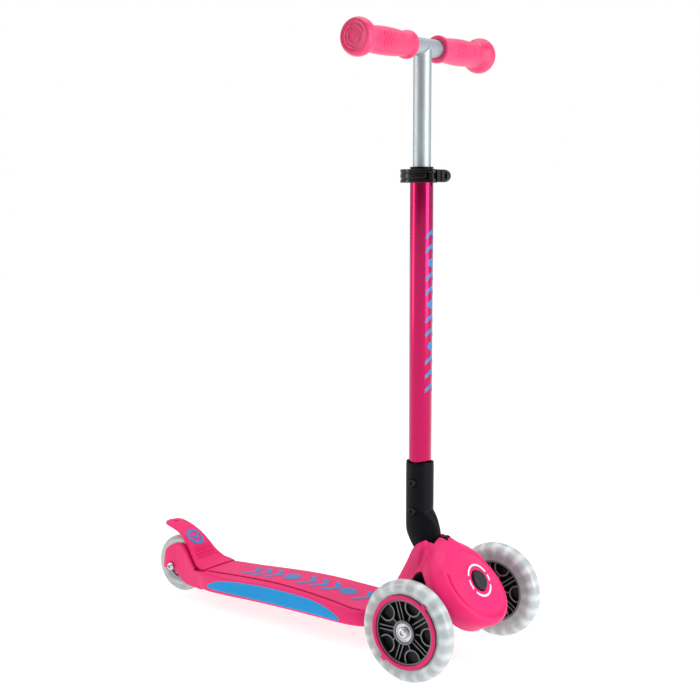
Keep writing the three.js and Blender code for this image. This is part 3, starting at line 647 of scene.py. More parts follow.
def hood_width(up, along, lean, half, neck):
    """Half width of the hood at a height above the steering axis: an oval below, a neck above."""
    rise = (up - FACE_CENTRE) / (FACE_SQUASH * half)
    oval = half * math.sqrt(max(0, 1 - rise * rise))
    taper = 1.1 * (NECK_APEX - 1.22 * hood_along(up, along, lean) - up)
    upper = min(max(taper, 0), neck * (1 + (66 - up) / 70)) * ease((up - FACE_CENTRE) / 34)
    return (oval ** 4 + upper ** 4) ** 0.25


def hood_loop(along, lean, half, top, bottom, neck):
    side = []
    for i in range(33):
        share = 1 - i / 32
        up = FACE_CENTRE + share * (top - FACE_CENTRE)
        rounding = 1 - 0.25 * max(0, (share - 0.86) / 0.14) ** 3
        side.append((hood_width(up, along, lean, half, neck) * rounding, up))
    below = [(half * x, FACE_CENTRE + (FACE_CENTRE - bottom) * y) for x, y in arc(0, 0, 1, -5, -175, 34)]
    crest = [(side[0][0] * (i / 4 - 1), top) for i in range(1, 8)]
    other = [(-y, up) for y, up in reversed(side)]
    outline = side + below + other + crest
    return [KING @ Vector((y, up, hood_along(up, along, lean))) for y, up in outline]


def heel_loop(x, edge, top, foot):
    base = min(44, top - 6)
    side = [(foot - 4, HEEL_FOOT), (foot - 1, HEEL_FOOT + 1.2), (foot, HEEL_FOOT + 4)]
    inner = edge - 4
    for i in range(13):
        angle = math.pi / 2 * i / 12
        side.append((inner + (foot - inner) * math.cos(angle), base + (top - base) * math.sin(angle)))
    return [(x, y, z) for y, z in side] + [(x, -y, z) for y, z in reversed(side)]


def truck_channel():
    arch = [(-31, -30), (-37.5, 5), (-38.2, 20), (-40.8, 30), (-45.5, 36), (-51, 38), (-59, 37.5)]
    arch = smooth_rows(arch + [(-66, 33.5), (-72, 26), (-75, 16)], 4)
    return king_prism([(-31, -120)] + arch + [(-75, -120)], 120)


# The channel's wall in the steering frame: its two ends along the axis, its height and its half width.
CHANNEL_WALL = (-73.5, -32.5, 37, 46)


def in_channel(face):
    """Whether a face of the housing is on the channel's wall rather than on the hood's outside."""
    back, front, height, half = CHANNEL_WALL
    place = FROM_KING @ (face.center / MM)
    reach = half - max(0, place.y) * 0.35
    return back < place.z < front and place.y < height and abs(face.center.y / MM) < reach


def fold_slot():
    outline = [(199, 175), (199, FOLD_PIN.z)] + arc(FOLD_PIN.x, FOLD_PIN.z, ELBOW_RADIUS, -10, -90, 16)
    outline += [(176, 103), (167, 97.5), (154, 91), (100, 83), (100, 175)]
    return side_prism(outline, -ELBOW_RADIUS - 0.7, ELBOW_RADIUS + 0.7)


def make_housing():
    housing = make("housing", rings([hood_loop(*row) for row in smooth_rows(HOOD, 5)]))
    fuse(housing, rings([heel_loop(*row) for row in smooth_rows(HEEL, 5)]))
    melt(housing, grain=1.1, soften=60)
    radius, along, lean, wire = RIM_GROOVE
    rim = []
    for y, up in arc(0, 0, radius, -212, 32, 120):
        up = FACE_CENTRE + FACE_SQUASH * up
        rim.append(KING @ Vector((y, up, hood_along(up, along, lean))))
    well = [(0, WELL_FLOOR), (13.3, WELL_FLOOR), (13.3, -1.9), (13.6, -1.2), (13.6, 20), (0, 20)]
    tab_pocket = king_prism([(-27.4, 48.5), (-16.6, 48.5), (-16.6, 80), (-27.4, 80)], 5.9)
    carve(housing, truck_channel(), fold_slot(), lathe(well).through(KING), tab_pocket, swept(rim, wire, 12))
    mould(housing, grain=0.75, soften=4, keep=0.35)
    finish_piece(housing, "chassis", "pink_plastic", PINK, "front_housing")
    # Painted shade: the housing's faces on the channel's wall are black, as the shade inside the opening under
    # the hood.
    mark_faces(housing, BLACK, in_channel)


def ring_sector(inner, outer, start, end, thickness, steps=24):
    """A raised flat arc round the origin."""
    outline = arc(0, 0, outer, start, end, steps) + arc(0, 0, inner, end, start, steps)
    return prism(outline, -thickness, thickness)


def make_hood_ring():
    """A plain broken ring round the lock button."""
    spans = [(20, 150), (165, 200), (215, 330), (345, 368)]
    flat = joined([ring_sector(18.3, 20.9, start, end, 0.3) for start, end in spans])
    shape = flat.mapped(lambda y, up, z: KING @ Vector((y, up, z - 1.35 - 0.03 * up)))
    ring = bevel(make("hood_ring", shape), 0.12, segments=1)
    finish_piece(ring, "chassis", "pink_plastic", WHITE_PRINT)


def make_buttons():
    dome = [(0, -5.5), (12.2, -5.5), (12.3, -0.4), (12.0, 0.5), (11.2, 1.2), (9.4, 1.5), (8.6, 1.1), (6, 1.0)]
    button = make("lock_cap", lathe(dome + [(3, 1.3), (0, 1.4)], 72).through(KING))
    fuse(button, disc(5, -10.5, -4, 32).through(KING))
    finish_piece(bevel(button, 0.3, 2, 40), "steering_lock_button", "black_plastic", BUTTON, "lock_button")
    outline = [(-26.4, 55), (-17.6, 55), (-17.6, 62.5), (-19, 64.5), (-21.5, 66), (-24.8, 66.8)]
    tab = make("fold_tab", king_prism(outline + [(-26.4, 66.3)], 5))
    grooves = [king_prism([(t, 65.2), (t + 0.8, 65.2), (t + 0.8, 70), (t, 70)], 4) for t in (-25, -23)]
    carve(tab, *grooves)
    finish_piece(bevel(tab, 0.5, 2), "folding_button", "black_plastic", BLACK, "fold_button")


# ------------------------------------------------------------------ deck

DECK_ROWS = smooth_rows(DECK, 6)
GROOVE = 1.5


def deck_side(half, top, bottom):
    """The deck's side from its foot to its shoulder."""
    return [
        (half - 7, bottom), (half - 3.5, bottom + 1), (half - 1.5, bottom + 3.5), (half - 0.4, bottom + 8),
        (half, (bottom + top) / 2), (half - 0.3, top - 7.5), (half - 1.2, top - 4.6), (half - 3.6, top - 2.6),
    ]


def crowned(share, top):
    """The height of the deck's top at a share of the way from its middle to the crease."""
    return top + 0.4 * (1 - share ** 2)


def deck_loop(x, half, crease, top, bottom):
    """The deck's section: crowned top, a groove at the crease, a soft shoulder and a rounded foot."""
    side = deck_side(half, top, bottom) + [
        (crease + GROOVE + 0.4, top - 1.3), (crease + GROOVE - 0.3, top - 1.7), (crease + 0.3, top - 2.2),
        (crease, top - 0.3), (crease - 1, top),
    ]
    side += [(crease * share, crowned(share, top)) for share in (0.6, 0.3)]
    return [(x, y, z) for y, z in side] + [(x, 0, top + 0.4)] + [(x, -y, z) for y, z in reversed(side)]


def side_y(x, z):
    """How far out the deck's side is at this place and height."""
    _, half, _, top, bottom = at(DECK_ROWS, x)
    return at([(height, y) for y, height in deck_side(half, top, bottom)], z)[1]


def fork_arm(sign):
    """One arm of the rear fork: an arch over the axle with a slot that opens downward."""
    outline = [(-172, 20), (-205, 19.5)] + bezier((-205, 19.5), (-216, 21.5), (-226, 27), (-233, 35), 8)
    outline += arc(REAR_AXLE.x, REAR_AXLE.z, 5.2, -40, 180, 20) + [(-251, 35), (-258, 36)]
    outline += bezier((-258, 36), (-257, 55), (-250, 72), (-229, 74), 16)
    outline += bezier((-229, 74), (-210, 74), (-203, 50), (-185, 44), 16) + [(-172, 44)]
    plan = [(-262, 13), (-262, 21), (-250, 25), (-230, 25), (-212, 27.5), (-195, 31), (-180, 34), (-168, 36)]
    arm = make("arm", side_prism(outline, 14 * sign, 40 * sign))
    plan = prism([(x, y * sign) for x, y in plan + [(-168, 13)]], 0, 100)
    combine(arm, "INTERSECT", make("tool", plan))
    shape = Shape([v.co / MM for v in arm.data.vertices], [tuple(f.vertices) for f in arm.data.polygons])
    bpy.data.objects.remove(arm)
    return shape


def make_deck():
    deck = make("deck", rings([deck_loop(*row) for row in DECK_ROWS]))
    fuse(deck, fork_arm(1), fork_arm(-1), block(110, -30, 28, 147, 30, 42))
    bays = [(-150, -112), (-106, -62), (-56, -10), (-4, 42), (48, 92)]
    pockets = [block(x0, y0, 0, x1, y1, 41) for x0, x1 in bays for y0, y1 in ((3, 31), (-31, -3))]
    wheel_gap, brake_gap = block(-200, -14, 0, -166, 14, 60), block(-190, -33, 43.5, -167.2, 33, 60)
    carve(deck, wheel_gap, brake_gap, *pockets)
    mould(deck, grain=0.75, soften=2, keep=0.3)
    finish_piece(deck, "chassis", "pink_plastic", PINK, "deck_body")
    rows = [row for row in DECK_ROWS if -164 < row[0] < 109]
    # Painted shade: a thin dark wire along each groove beside the raised top, as the groove's shadow.
    for name, sign in SIDES.items():
        path = [(x, sign * (crease + 0.8), top - 1.1) for x, _, crease, top, _ in rows]
        groove_shade = make(f"deck_groove_shade_{name}", swept(path, 0.6, 10))
        finish_piece(groove_shade, "chassis", "pink_plastic", PINK_GROOVE_SHADE)


LEAF_TOP = (
    bezier((-158, 31), (-140, 46.5), (-90, 49.5), (-30, 51.2), 24)
    + bezier((-30, 51.2), (20, 51.6), (62, 49), (79, 36), 24)
    + bezier((79, 36), (80.2, 34.2), (80.6, 33), (80.6, 32), 6)
    + [(80.6, 32)]
)
LEAF_FOOT = (
    [(-158, 31), (-157, 28.3), (-152, 26.3)]
    + bezier((-140, 26), (-90, 26.5), (0, 28.5), (71, 28.5), 20)
    + bezier((71, 28.5), (77, 28.5), (80.6, 29.5), (80.6, 32), 10) + [(80.6, 32)]
)


def insert_shape(sign):
    """A leaf laid into the deck's side, crowned a little and dipping into it along its edge."""
    columns, bands, depth = 110, 22, 2.2
    start, end = -157.6, 80.3
    loops = []
    for i in range(columns + 1):
        share = i / columns
        x = start + (end - start) * (share - 0.06 * math.sin(2 * math.pi * share))
        top, foot = at(LEAF_TOP, x)[1], at(LEAF_FOOT, x)[1]
        outer, inner = [], []
        for k in range(bands + 1):
            v = k / bands
            z = foot + (top - foot) * v
            rim = min(v, 1 - v) * (top - foot)
            rim = min(rim, (x - start) * 1.5 + 0.1, (end - x) * 1.5 + 0.1)
            proud = 0.75 * ease(rim / 2.2) - 0.45
            side = side_y(x, z)
            outer.append((x, sign * (side + proud), z))
            inner.append((x, sign * (side - depth), z))
        loops.append(outer + inner[::-1])
    return rings(loops)


def make_inserts():
    for name, sign in SIDES.items():
        insert = make(f"insert_{name}", insert_shape(sign), 50)
        finish_piece(insert, "chassis", "blue_plastic", BLUE, f"side_insert_{name}")


def chevron(x, y, reach, half, stroke):
    """The outline of a chevron that points along +X."""
    return [
        (x, y + half), (x + stroke, y + half), (x + reach + stroke, y), (x + stroke, y - half),
        (x, y - half), (x + reach, y),
    ]


def divided(outline, thickness, step):
    """An outline made solid and cut into small faces, so that it can bend over a surface."""
    obj = make("flat", prism(outline, -thickness, thickness))
    work = bmesh.new()
    work.from_mesh(obj.data)
    xs = [v.co.x / MM for v in work.verts]
    ys = [v.co.y / MM for v in work.verts]
    for axis, values in ((Vector((1, 0, 0)), xs), (Vector((0, 1, 0)), ys)):
        cut = math.ceil(min(values) / step) * step
        while cut < max(values):
            geometry = work.verts[:] + work.edges[:] + work.faces[:]
            bmesh.ops.bisect_plane(work, geom=geometry, plane_co=axis * cut * MM, plane_no=axis)
            cut += step
    shape = Shape([v.co / MM for v in work.verts], [tuple(v.index for v in f.verts) for f in work.faces])
    work.free()
    bpy.data.objects.remove(obj)
    return shape


def laid(outlines, thickness, step, place):
    """Outlines made solid and laid on a surface, as one shape."""
    return joined([divided(outline, thickness, step) for outline in outlines]).mapped(place)


def deck_top(x, y, z):
    """Lays a flat shape on the deck's raised top."""
    _, _, crease, top, _ = at(DECK_ROWS, x)
    return Vector((x, y, crowned(min(1, abs(y) / crease), top) + z))


def make_deck_print():
    """Plain chevrons and dots printed along the deck."""
    outlines = [chevron(place, 0, 12, 18, 8.5) for place in (-116, -96, -76, -18, 2, 22, 74)]
    outlines += [arc(place, 0, 12, 0, 351, 39) for place in (-38, 56)]
    marks = make("deck_print", laid(outlines, 0.3, 4, deck_top))
    finish_piece(marks, "chassis", "blue_plastic", BLUE_PRINT)


# ------------------------------------------------------------------ brake

BRAKE_ROWS = smooth_rows(BRAKE, 10)


def brake_lengths():
    lengths = [0.0]
    for a, b in zip(BRAKE_ROWS, BRAKE_ROWS[1:]):
        lengths.append(lengths[-1] + math.hypot(b[0] - a[0], b[1] - a[1]))
    return lengths


BRAKE_LENGTHS = brake_lengths()
BRAKE_PLACES = [(length, *row) for length, row in zip(BRAKE_LENGTHS, BRAKE_ROWS)]


def brake_frame(length):
    """The brake's middle line at a length along it: a point, the way on, the way up and the half width."""
    _, x, z, half = at(BRAKE_PLACES, length)
    _, x1, z1, _ = at(BRAKE_PLACES, min(length + 1, BRAKE_LENGTHS[-1]))
    _, x0, z0, _ = at(BRAKE_PLACES, max(length - 1, 0))
    along = Vector((x1 - x0, 0, z1 - z0)).normalized()
    return Vector((x, 0, z)), along, Vector((along.z, 0, -along.x)), half


def brake_surface(length, y, lift):
    """A point on the brake's upper face, at a length along it and a distance from its middle."""
    point, _, normal, half = brake_frame(length)
    share = min(1, abs(y) / half)
    crown = 1.6 * (1 - share ** 2) - 1.6
    return point + Vector((0, y, 0)) + normal * (crown + lift)


def make_brake():
    total = BRAKE_LENGTHS[-1]
    ribs = (0.2 * total, 0.41 * total)
    loops = []
    steps = 150
    for i in range(steps + 1):
        length = total * i / steps
        _, _, _, half = brake_frame(length)
        wave = math.cos((length - ribs[0]) / (ribs[1] - ribs[0]) * 2 * math.pi * 7)
        within = ease((length - ribs[0]) / 3) * ease((ribs[1] - length) / 3)
        upper = []
        for k in range(33):
            v = 1 - 2 * k / 32
            y = v * half
            rib = 1.5 * max(0, wave) ** 0.6 * within * ease((0.8 - abs(v)) / 0.08)
            lip = 0.9 * ease((abs(v) - 0.84) / 0.07)
            edge = -1.4 * max(0, (abs(v) - 0.95) / 0.05) ** 2
            upper.append(brake_surface(length, y, rib + lip + edge))
        lower = []
        for k in range(17):
            v = -1 + 2 * k / 16
            lower.append(brake_surface(length, v * half * 0.97, -BRAKE_THICKNESS + 1.2 * abs(v) ** 6))
        loops.append(upper + lower)
    brake = make("brake_plate", rings(loops), 40)
    slot = prism(arc(2.6, 0, 1.4, 90, -90, 8) + arc(-2.6, 0, 1.4, -90, -270, 8), -8, 8)
    tip, along, normal, _ = brake_frame(total - 13)
    turn = Matrix((LEFT, along, normal)).transposed().to_4x4()
    carve(brake, slot.through(Matrix.Translation(tip) @ turn))
    lug = arc(BRAKE_PIN.x, BRAKE_PIN.z, 5.5, 180, 360, 16)
    lug += [(BRAKE_PIN.x + 5.5, 48), (BRAKE_PIN.x - 5.5, 48)]
    fuse(brake, side_prism(lug, 6, 13.4), side_prism(lug, -13.4, -6))
    shade(brake, 40)
    finish_piece(brake, "brake_pedal", "pink_plastic", PINK, "brake")


def make_brake_badge():
    """A plain roundel with a chevron in it, inlaid in the brake."""
    middle = 0.52 * BRAKE_LENGTHS[-1]
    ring = [arc(0, 0, 13.6, a, a + 172, 30) + arc(0, 0, 8.8, a + 172, a, 30) for a in (4, 184)]
    outlines = ring + [[(y, -x) for x, y in chevron(-5.4, 0, 5.4, 6, 5.4)]]
    shape = laid(outlines, 0.3, 2.5, lambda x, y, z: brake_surface(middle + y, x, z + 0.12))
    finish_piece(make("brake_badge", shape), "brake_pedal", "blue_plastic", BLUE_PRINT)


# ------------------------------------------------------------------ truck

def make_truck():
    half = [(0, -25), (22, -26), (60, -35), (88, -33), (88, -6), (78, -3), (56, 17), (24, 24), (0, 24)]
    outline = half + [(-y, up) for y, up in half[-2:0:-1]]
    beam = prism(outline, -62, -42).mapped(lambda y, up, along: KING @ Vector((y, up, along)))
    truck = make("truck", beam)
    fuse(truck, disc(18, -64, -40, 48).through(KING))
    axle = FRONT_AXLE["left"]
    bores = [across(disc(4.3, near, far, 24), axle.x, axle.z) for near, far in ((45, 95), (-95, -45))]
    carve(truck, disc(11.3, -90, 0, 48).through(KING), *bores)
    mould(truck, grain=1.0, soften=3, keep=0.4)
    finish_piece(truck, "truck", "black_plastic", BLACK, "truck_beam")


# ------------------------------------------------------------------ wheels

def mirrored(profile):
    return profile + [(radius, -y) for radius, y in reversed(profile)]


def rib(inner, outer, angle, half, thickness, offset=0):
    return block(inner, offset - thickness / 2, -half, outer, offset + thickness / 2, half).turned(angle)


def wheel_bow(angle, half):
    """A deep bow that bulges inward from the rim."""
    outline = [(38, 11)] + arc(32, 0, 11, 90, 270, 24) + [(38, -11), (38, -9.2)]
    outline += arc(32, 0, 9.2, 270, 90, 24) + [(38, 9.2)]
    return prism(outline, -half, half).turned(angle)


def make_front_core(name):
    """Rim, hub and web, with five bows and a pair of ribs between each two."""
    rim = mirrored([(36.8, -9.3), (38.4, -9.3), (38.8, -8.6), (44, -8.6)])
    core = make(name, lathe(rim, 120, closed=True))
    fuse(core, tube(11.2, 14.5, -10.3, 10.3), tube(13, 40, -1, 1))
    half = 6.4
    for angle in turns(5):
        fuse(core, *[rib(13.5, 38, angle + math.pi / 5, half, 1.3, offset) for offset in (2.4, -2.4)])
        fuse(core, rib(13.5, 21.8, angle, half, 1.5), wheel_bow(angle, half))
    return core


def mark_faces(obj, second, rule):
    """Adds a second material, for the faces that meet the rule."""
    obj.data.materials.append(second)
    for face in obj.data.polygons:
        if rule(face):
            face.material_index = 1


def make_front_wheel(name, sign):
    body = f"front_wheel_{name}"
    centre = FRONT_AXLE[name]

    placed = round_axle(centre, sign)

    def on_front(face):
        """Whether a face of the core looks out to a side and stands clear of its web."""
        return abs(face.normal.y) > 0.35 and abs(face.center.y - centre.y * MM) > 4 * MM

    groove = [(46.8, -4.3), (44.6, -4.3)]
    lip = [(44.6, -8.7), (39.2, -8.7), (39.2, -9.1), (40, -9.35), (46, -9.5)]
    flank = [(48.5, -9.8), (51, -11), (54, -10.9), (57, -9.2), (59.4, -6), (60.5, -2)]
    outer_side = [(radius, -y) for radius, y in reversed(groove + [(44.6, -8.6), (46, -9.2)] + flank)]
    tyre = lathe(groove + lip + flank + outer_side, 180, closed=True)
    finish_piece(make(f"tyre_{name}", placed(tyre), 40), body, "clear_tyre", LIT_TYRE, f"front_tyre_{name}")
    lamps = lathe(mirrored([(44.6, -4), (46.4, -4), (46.6, -2)]), 120, closed=True)
    finish_piece(make(f"lamps_{name}", placed(lamps)), body, "lamp", LAMPS, f"light_ring_{name}")
    core = make_front_core(f"core_{name}")
    core.data.transform(Matrix.Diagonal((1, sign, 1, 1)) @ ALONG_Y)
    core.data.transform(Matrix.Translation(centre * MM))
    if sign < 0:
        core.data.flip_normals()
    bevel(core, 0.35, angle=40)
    # Painted light and shade: the core is near black, as the shade in its pockets, and faces that look out get a
    # lighter grey, as lit.
    finish_piece(core, body, "graphite_plastic", CORE_SHADED, f"wheel_core_{name}")
    mark_faces(core, CORE_LIT, on_front)
    trim = [(38.9, 9.5), (44, 9.5), (44.2, 10.6), (43.6, 11.5), (42.4, 11.8), (40.2, 11.8), (39.2, 11.3)]
    trim = make(f"trim_{name}", placed(lathe(trim, 120, closed=True)))
    tabs = [rib(42, 47.6, angle, 1.0, 6).moved(0, 0, 10.6) for angle in (0.9, 0.9 + math.pi)]
    fuse(trim, *[placed(tab) for tab in tabs])
    finish_piece(bevel(trim, 0.3), body, "pink_plastic", PINK_TRIM, f"trim_ring_{name}")
    make_bearing(f"bearing_outer_{name}", placed, body, f"bearing_{name}_outer")
    make_axle_head(f"axle_head_{name}", placed, 13.7, "truck", f"axle_bolt_{name}")


def make_bearing(name, placed, body, node, outer=9.9):
    """A ball bearing seen from outside: two races with a recessed shield between them."""
    profile = [
        (4.3, outer - 6.8), (10.9, outer - 6.8), (10.9, outer), (9.4, outer), (9.2, outer - 0.7),
        (6.6, outer - 0.7), (6.4, outer), (4.3, outer),
    ]
    bearing = make(name, placed(lathe(profile, 72, closed=True)))
    finish_piece(bevel(bearing, 0.15), body, "steel", STEEL, node)


def make_axle_head(name, placed, face, body, node, radius=7, height=3.4, length=67, socket=3.2):
    """A button-head screw with a six-sided socket; its head's face is this far out."""
    profile = [
        (0, face - length), (4, face - length), (4, face - height), (radius, face - height),
        (radius, face - height + 1.2), (radius - 0.7, face - 0.9), (radius - 2, face), (0, face),
    ]
    screw = make(name, placed(lathe(profile, 48)))
    carve(screw, placed(disc(socket, face - 2.1, face + 3, 6)))
    finish_piece(bevel(screw, 0.15, angle=40), body, "steel", STEEL, node)


def make_rear_wheel():
    placed, mirror = round_axle(REAR_AXLE), round_axle(REAR_AXLE, -1)
    flank = [(25, -8.4), (27, -10), (30, -10.8), (34, -10.6), (37, -9), (39.2, -5.8), (40, -2)]
    tyre = lathe(mirrored(flank), 150, closed=True)
    finish_piece(make("tyre_rear", placed(tyre), 40), "rear_wheel", "clear_tyre", PLAIN_TYRE, "rear_tyre")
    core = make("core_rear", tube(20.5, 24.7, -8.3, 8.3, 96))
    fuse(core, tube(11.2, 13.8, -9.8, 9.8), tube(13, 21.5, -1, 1))
    fuse(core, *[rib(13.2, 21.2, angle, 6, 2.2) for angle in turns(6)])
    core.data.transform(ALONG_Y)
    core.data.transform(Matrix.Translation(REAR_AXLE * MM))
    finish_piece(bevel(core, 0.3, angle=40), "rear_wheel", "silver_core", REAR_CORE, "rear_core")
    make_bearing("bearing_rear_l", placed, "rear_wheel", "bearing_rear_left", 9.8)
    make_bearing("bearing_rear_r", mirror, "rear_wheel", "bearing_rear_right", 9.8)
    make_axle_head(
        "axle_rear", mirror, 29, "chassis", "rear_axle_bolt", radius=5.6, height=3.6, length=55.5, socket=2.6,
    )


# ------------------------------------------------------------------ stem

def elbow_loop(z, back, mid, front):
    reach = max(0, front - mid - ELBOW_RADIUS) / 14
    points = []
    for angle in turns(72):
        c, s = math.cos(angle), math.sin(angle)
        side = ELBOW_RADIUS - (1 if z > ELBOW_TOP - 0.5 else 0)
        if c >= 0:
            x = mid + (front - mid) * c
            y = side * math.copysign(abs(s) ** (1 + 0.55 * reach), s)
        else:
            x = mid + (mid - back) * c
            y = side * s
        points.append((x, y, z))
    return points


def make_elbow():
    elbow = make("elbow_casting", rings([elbow_loop(*row) for row in smooth_rows(ELBOW, 5)]))
    bore = on_stem(disc(TUBE_RADIUS + 0.3, TUBE_FOOT - 0.3, 300, 72))
    pin = across(disc(4.3, -40, 40, 32), FOLD_PIN.x, FOLD_PIN.z)
    holes = [across(disc(5.5, -40, -15.2, 48), STEM_X, z) for z in ELBOW_BOLTS]
    grooves = [across(tube(6.6, 7.5, -40, -15.6), STEM_X, z) for z in ELBOW_BOLTS]
    slot = block(0, -0.45, 178, 40, 0.45, ELBOW_TOP + 5).moved(ELBOW_RADIUS - 0.7, 0, 0)
    seams = [on_stem(slot.turned(math.radians(angle))) for angle in (-52, 52)]
    carve(elbow, bore, pin, *holes, *grooves, *seams)
    mould(elbow, grain=0.55, soften=2, keep=0.4)
    finish_piece(elbow, "stem", "black_plastic", BLACK, "elbow")
    for name, z in zip(("upper", "lower"), ELBOW_BOLTS):
        def placed(shape, height=z):
            return shape.mapped(lambda x, y, d: Vector((STEM_X + x, -d, height + y)))
        make_elbow_bolt(name, placed)


def make_elbow_bolt(name, placed):
    profile = [(0, -17), (2.5, -17), (2.5, 15.9), (5.1, 15.9), (5.1, 18), (4.6, 18.6), (0, 18.6)]
    bolt = make(f"elbow_screw_{name}", placed(lathe(profile, 40)))
    carve(bolt, placed(disc(2.7, 17, 20, 6)))
    finish_piece(bevel(bolt, 0.15, angle=40), "stem", "black_plastic", BLACK_STEEL, f"elbow_bolt_{name}")


def make_tube():
    wall = [(12.7, TUBE_FOOT), (14.0, TUBE_FOOT), (TUBE_RADIUS, TUBE_FOOT + 0.3)]
    wall += [(TUBE_RADIUS, TUBE_TOP - 0.3), (TUBE_RADIUS - 0.3, TUBE_TOP), (12.7, TUBE_TOP)]
    outer = make("stem_tube", on_stem(lathe(wall, 128, closed=True)))
    foot = CLAMP_LOW - 3
    slit = prism(arc(0, 0, 1.1, 90, 270, 12) + [(30, -1.1), (30, 1.1)], -30, 30)
    carve(outer, slit.mapped(lambda x, y, z: Vector((STEM_X + 4 + max(z, 0), y, foot + x))))
    shade(outer, 40)
    finish_piece(outer, "stem", "pink_anodised", ANODISED, "outer_tube")
    top = TUBE_TOP + 0.3
    profile = [
        (11.35, 556), (12.4, 556), (12.4, top), (14.3, top), (14.4, top + 0.3), (14.2, 598.9),
        (13.4, 599.2), (11.35, 599.2),
    ]
    bush = make("tube_bush_ring", on_stem(lathe(profile, 96, closed=True)))
    finish_piece(bush, "stem", "black_plastic", BLACK, "tube_bush")


def tube_wrap(x, y, z):
    """Wraps a flat shape round the front of the stem tube, with its X up the tube."""
    angle = -y / TUBE_RADIUS
    radius = TUBE_RADIUS + 0.05 + z
    return Vector((STEM_X + radius * math.cos(angle), radius * math.sin(angle), x))


def make_tube_print():
    """Plain chevrons and dots printed up the front of the tube."""
    outlines = [chevron(325 + 17 * i, 0, 6.5, 8.5, 5) for i in range(12) if i not in (3, 6, 9)]
    outlines += [arc(325 + 17 * i + 6, 0, 5.2, 0, 345, 23) for i in (3, 6, 9)]
    finish_piece(make("tube_print", laid(outlines, 0.12, 2, tube_wrap)), "stem", "blue_plastic", BLUE_PRINT)


# ------------------------------------------------------------------ clamp

def make_clamp():
    inner, outer = 14.6, 18.6
    bolt_x = STEM_X + 23
    collar = make("collar", on_stem(tube(inner, outer, CLAMP_LOW, CLAMP_TOP, 96)))
    ears = make("ears", block(STEM_X + 10, -8, CLAMP_LOW + 0.6, STEM_X + 28, 10.3, CLAMP_TOP - 0.6))
    carve(ears, on_stem(disc(inner + 1, CLAMP_LOW - 5, CLAMP_TOP + 5, 96)))
    combine(collar, "UNION", ears)
    slit = block(STEM_X + 5, -1.4, CLAMP_LOW - 5, STEM_X + 60, 1.4, CLAMP_TOP + 5)
    bore = across(disc(2.8, -40, 40, 32), bolt_x, CLAMP_MIDDLE)
    band = on_stem(tube(18.0, 25, CLAMP_MIDDLE - 2.2, CLAMP_MIDDLE + 2.2, 96))
    carve(collar, slit, bore, band)
    mould(collar, grain=0.45, soften=2, keep=0.4)
    finish_piece(collar, "stem", "black_plastic", BLACK_GLOSS, "clamp_collar")

    def nut_placed(shape):
        return across(shape, bolt_x, CLAMP_MIDDLE)

    dome = [
        (2.8, 10.6), (7.0, 10.6), (7.5, 11.4), (7.5, 16.6), (6.9, 18.6), (5.2, 20.8), (3.4, 21.9), (2.8, 22),
    ]
    nut = make("nut_cap", nut_placed(lathe(dome, 72, closed=True)))
    notch = disc(0.75, 10, 18.5, 10).moved(7.8, 0, 0)
    carve(nut, *[nut_placed(notch.turned(angle)) for angle in turns(14)])
    finish_piece(bevel(nut, 0.2, angle=35), "stem", "black_plastic", BLACK_GLOSS, "clamp_nut")


def make_lever():
    """The lever wraps round the near side of the collar and pivots on an upright pin."""
    top = CLAMP_TOP - 0.2
    pin = LEVER_PIN - Vector((STEM_X, 0, 0))
    head = arc(pin.x, pin.y, 5.8, 0, 351, 39)
    arm = bezier((pin.x + 2, pin.y - 5.3), (17, -22), (10, -25.8), (0, -26), 14)
    arm += arc(0, 0, 26, -90, -151, 24) + arc(0, 0, 21.6, -151, -90, 24)
    arm += bezier((0, -21.6), (8, -21), (14, -17), (pin.x - 4.2, pin.y + 3), 12)
    lever = make("lever", on_stem(prism(arm, CLAMP_LOW, top)))
    fuse(lever, on_stem(prism(head, CLAMP_LOW, top)))
    ridges = [on_stem(tube(25.0, 32, z - 0.7, z + 0.7, 96)) for z in (CLAMP_LOW + 4.6, top - 4.6)]
    middle = Vector((LEVER_PIN.x, LEVER_PIN.y, CLAMP_MIDDLE))
    eye = block(-4.4, -4.4, -4.9, 4.4, 10, 4.9).moved(*middle)
    sweep = block(-2.9, -10, -2.9, 10, 10, 2.9).moved(*middle)
    bore = disc(1.8, CLAMP_LOW - 5, top + 5, 24).moved(LEVER_PIN.x, LEVER_PIN.y, 0)
    carve(lever, *ridges, eye, sweep, bore)
    mould(lever, grain=0.4, soften=2, keep=0.4)
    finish_piece(lever, "quick_release_lever", "black_plastic", BLACK_GLOSS, "clamp_lever")


# ------------------------------------------------------------------ handlebar

def weld_bead():
    """A rippled bead where the upright meets the bar."""
    path = []
    for angle in turns(180):
        radius = BAR_RADIUS + 0.35 + 0.12 * math.cos(30 * angle)
        x, y = radius * math.cos(angle), radius * math.sin(angle)
        path.append((STEM_X + x, y, BAR_Z - math.sqrt(max(0, (BAR_RADIUS + 0.35) ** 2 - x * x)) - 0.15))
    return swept(path, 0.7, 10, closed=True)


def make_handlebar():
    bore = 9.6
    pipe = mirrored([(bore, -BAR_HALF), (BAR_RADIUS - 0.3, -BAR_HALF), (BAR_RADIUS, -BAR_HALF + 0.3)])
    bar = make("bar", across(lathe(pipe, 96, closed=True), STEM_X, BAR_Z))
    upright = []
    for angle in turns(96):
        x, y = BAR_RADIUS * math.cos(angle), BAR_RADIUS * math.sin(angle)
        top = BAR_Z - math.sqrt(max(0, BAR_RADIUS ** 2 - x * x)) + 0.5
        upright.append((x, y, top))
    inner = [(x * bore / BAR_RADIUS, y * bore / BAR_RADIUS, z) for x, y, z in upright]
    foot_in, foot_out = ([(x, y, BAR_FOOT) for x, y, _ in loop] for loop in (inner, upright))
    post = on_stem(rings([inner, foot_in, foot_out, upright], closed=True))
    fuse(bar, post, weld_bead())
    shade(bar, 35)
    finish_piece(bar, "bar", "silver_tube", SILVER, "handlebar")


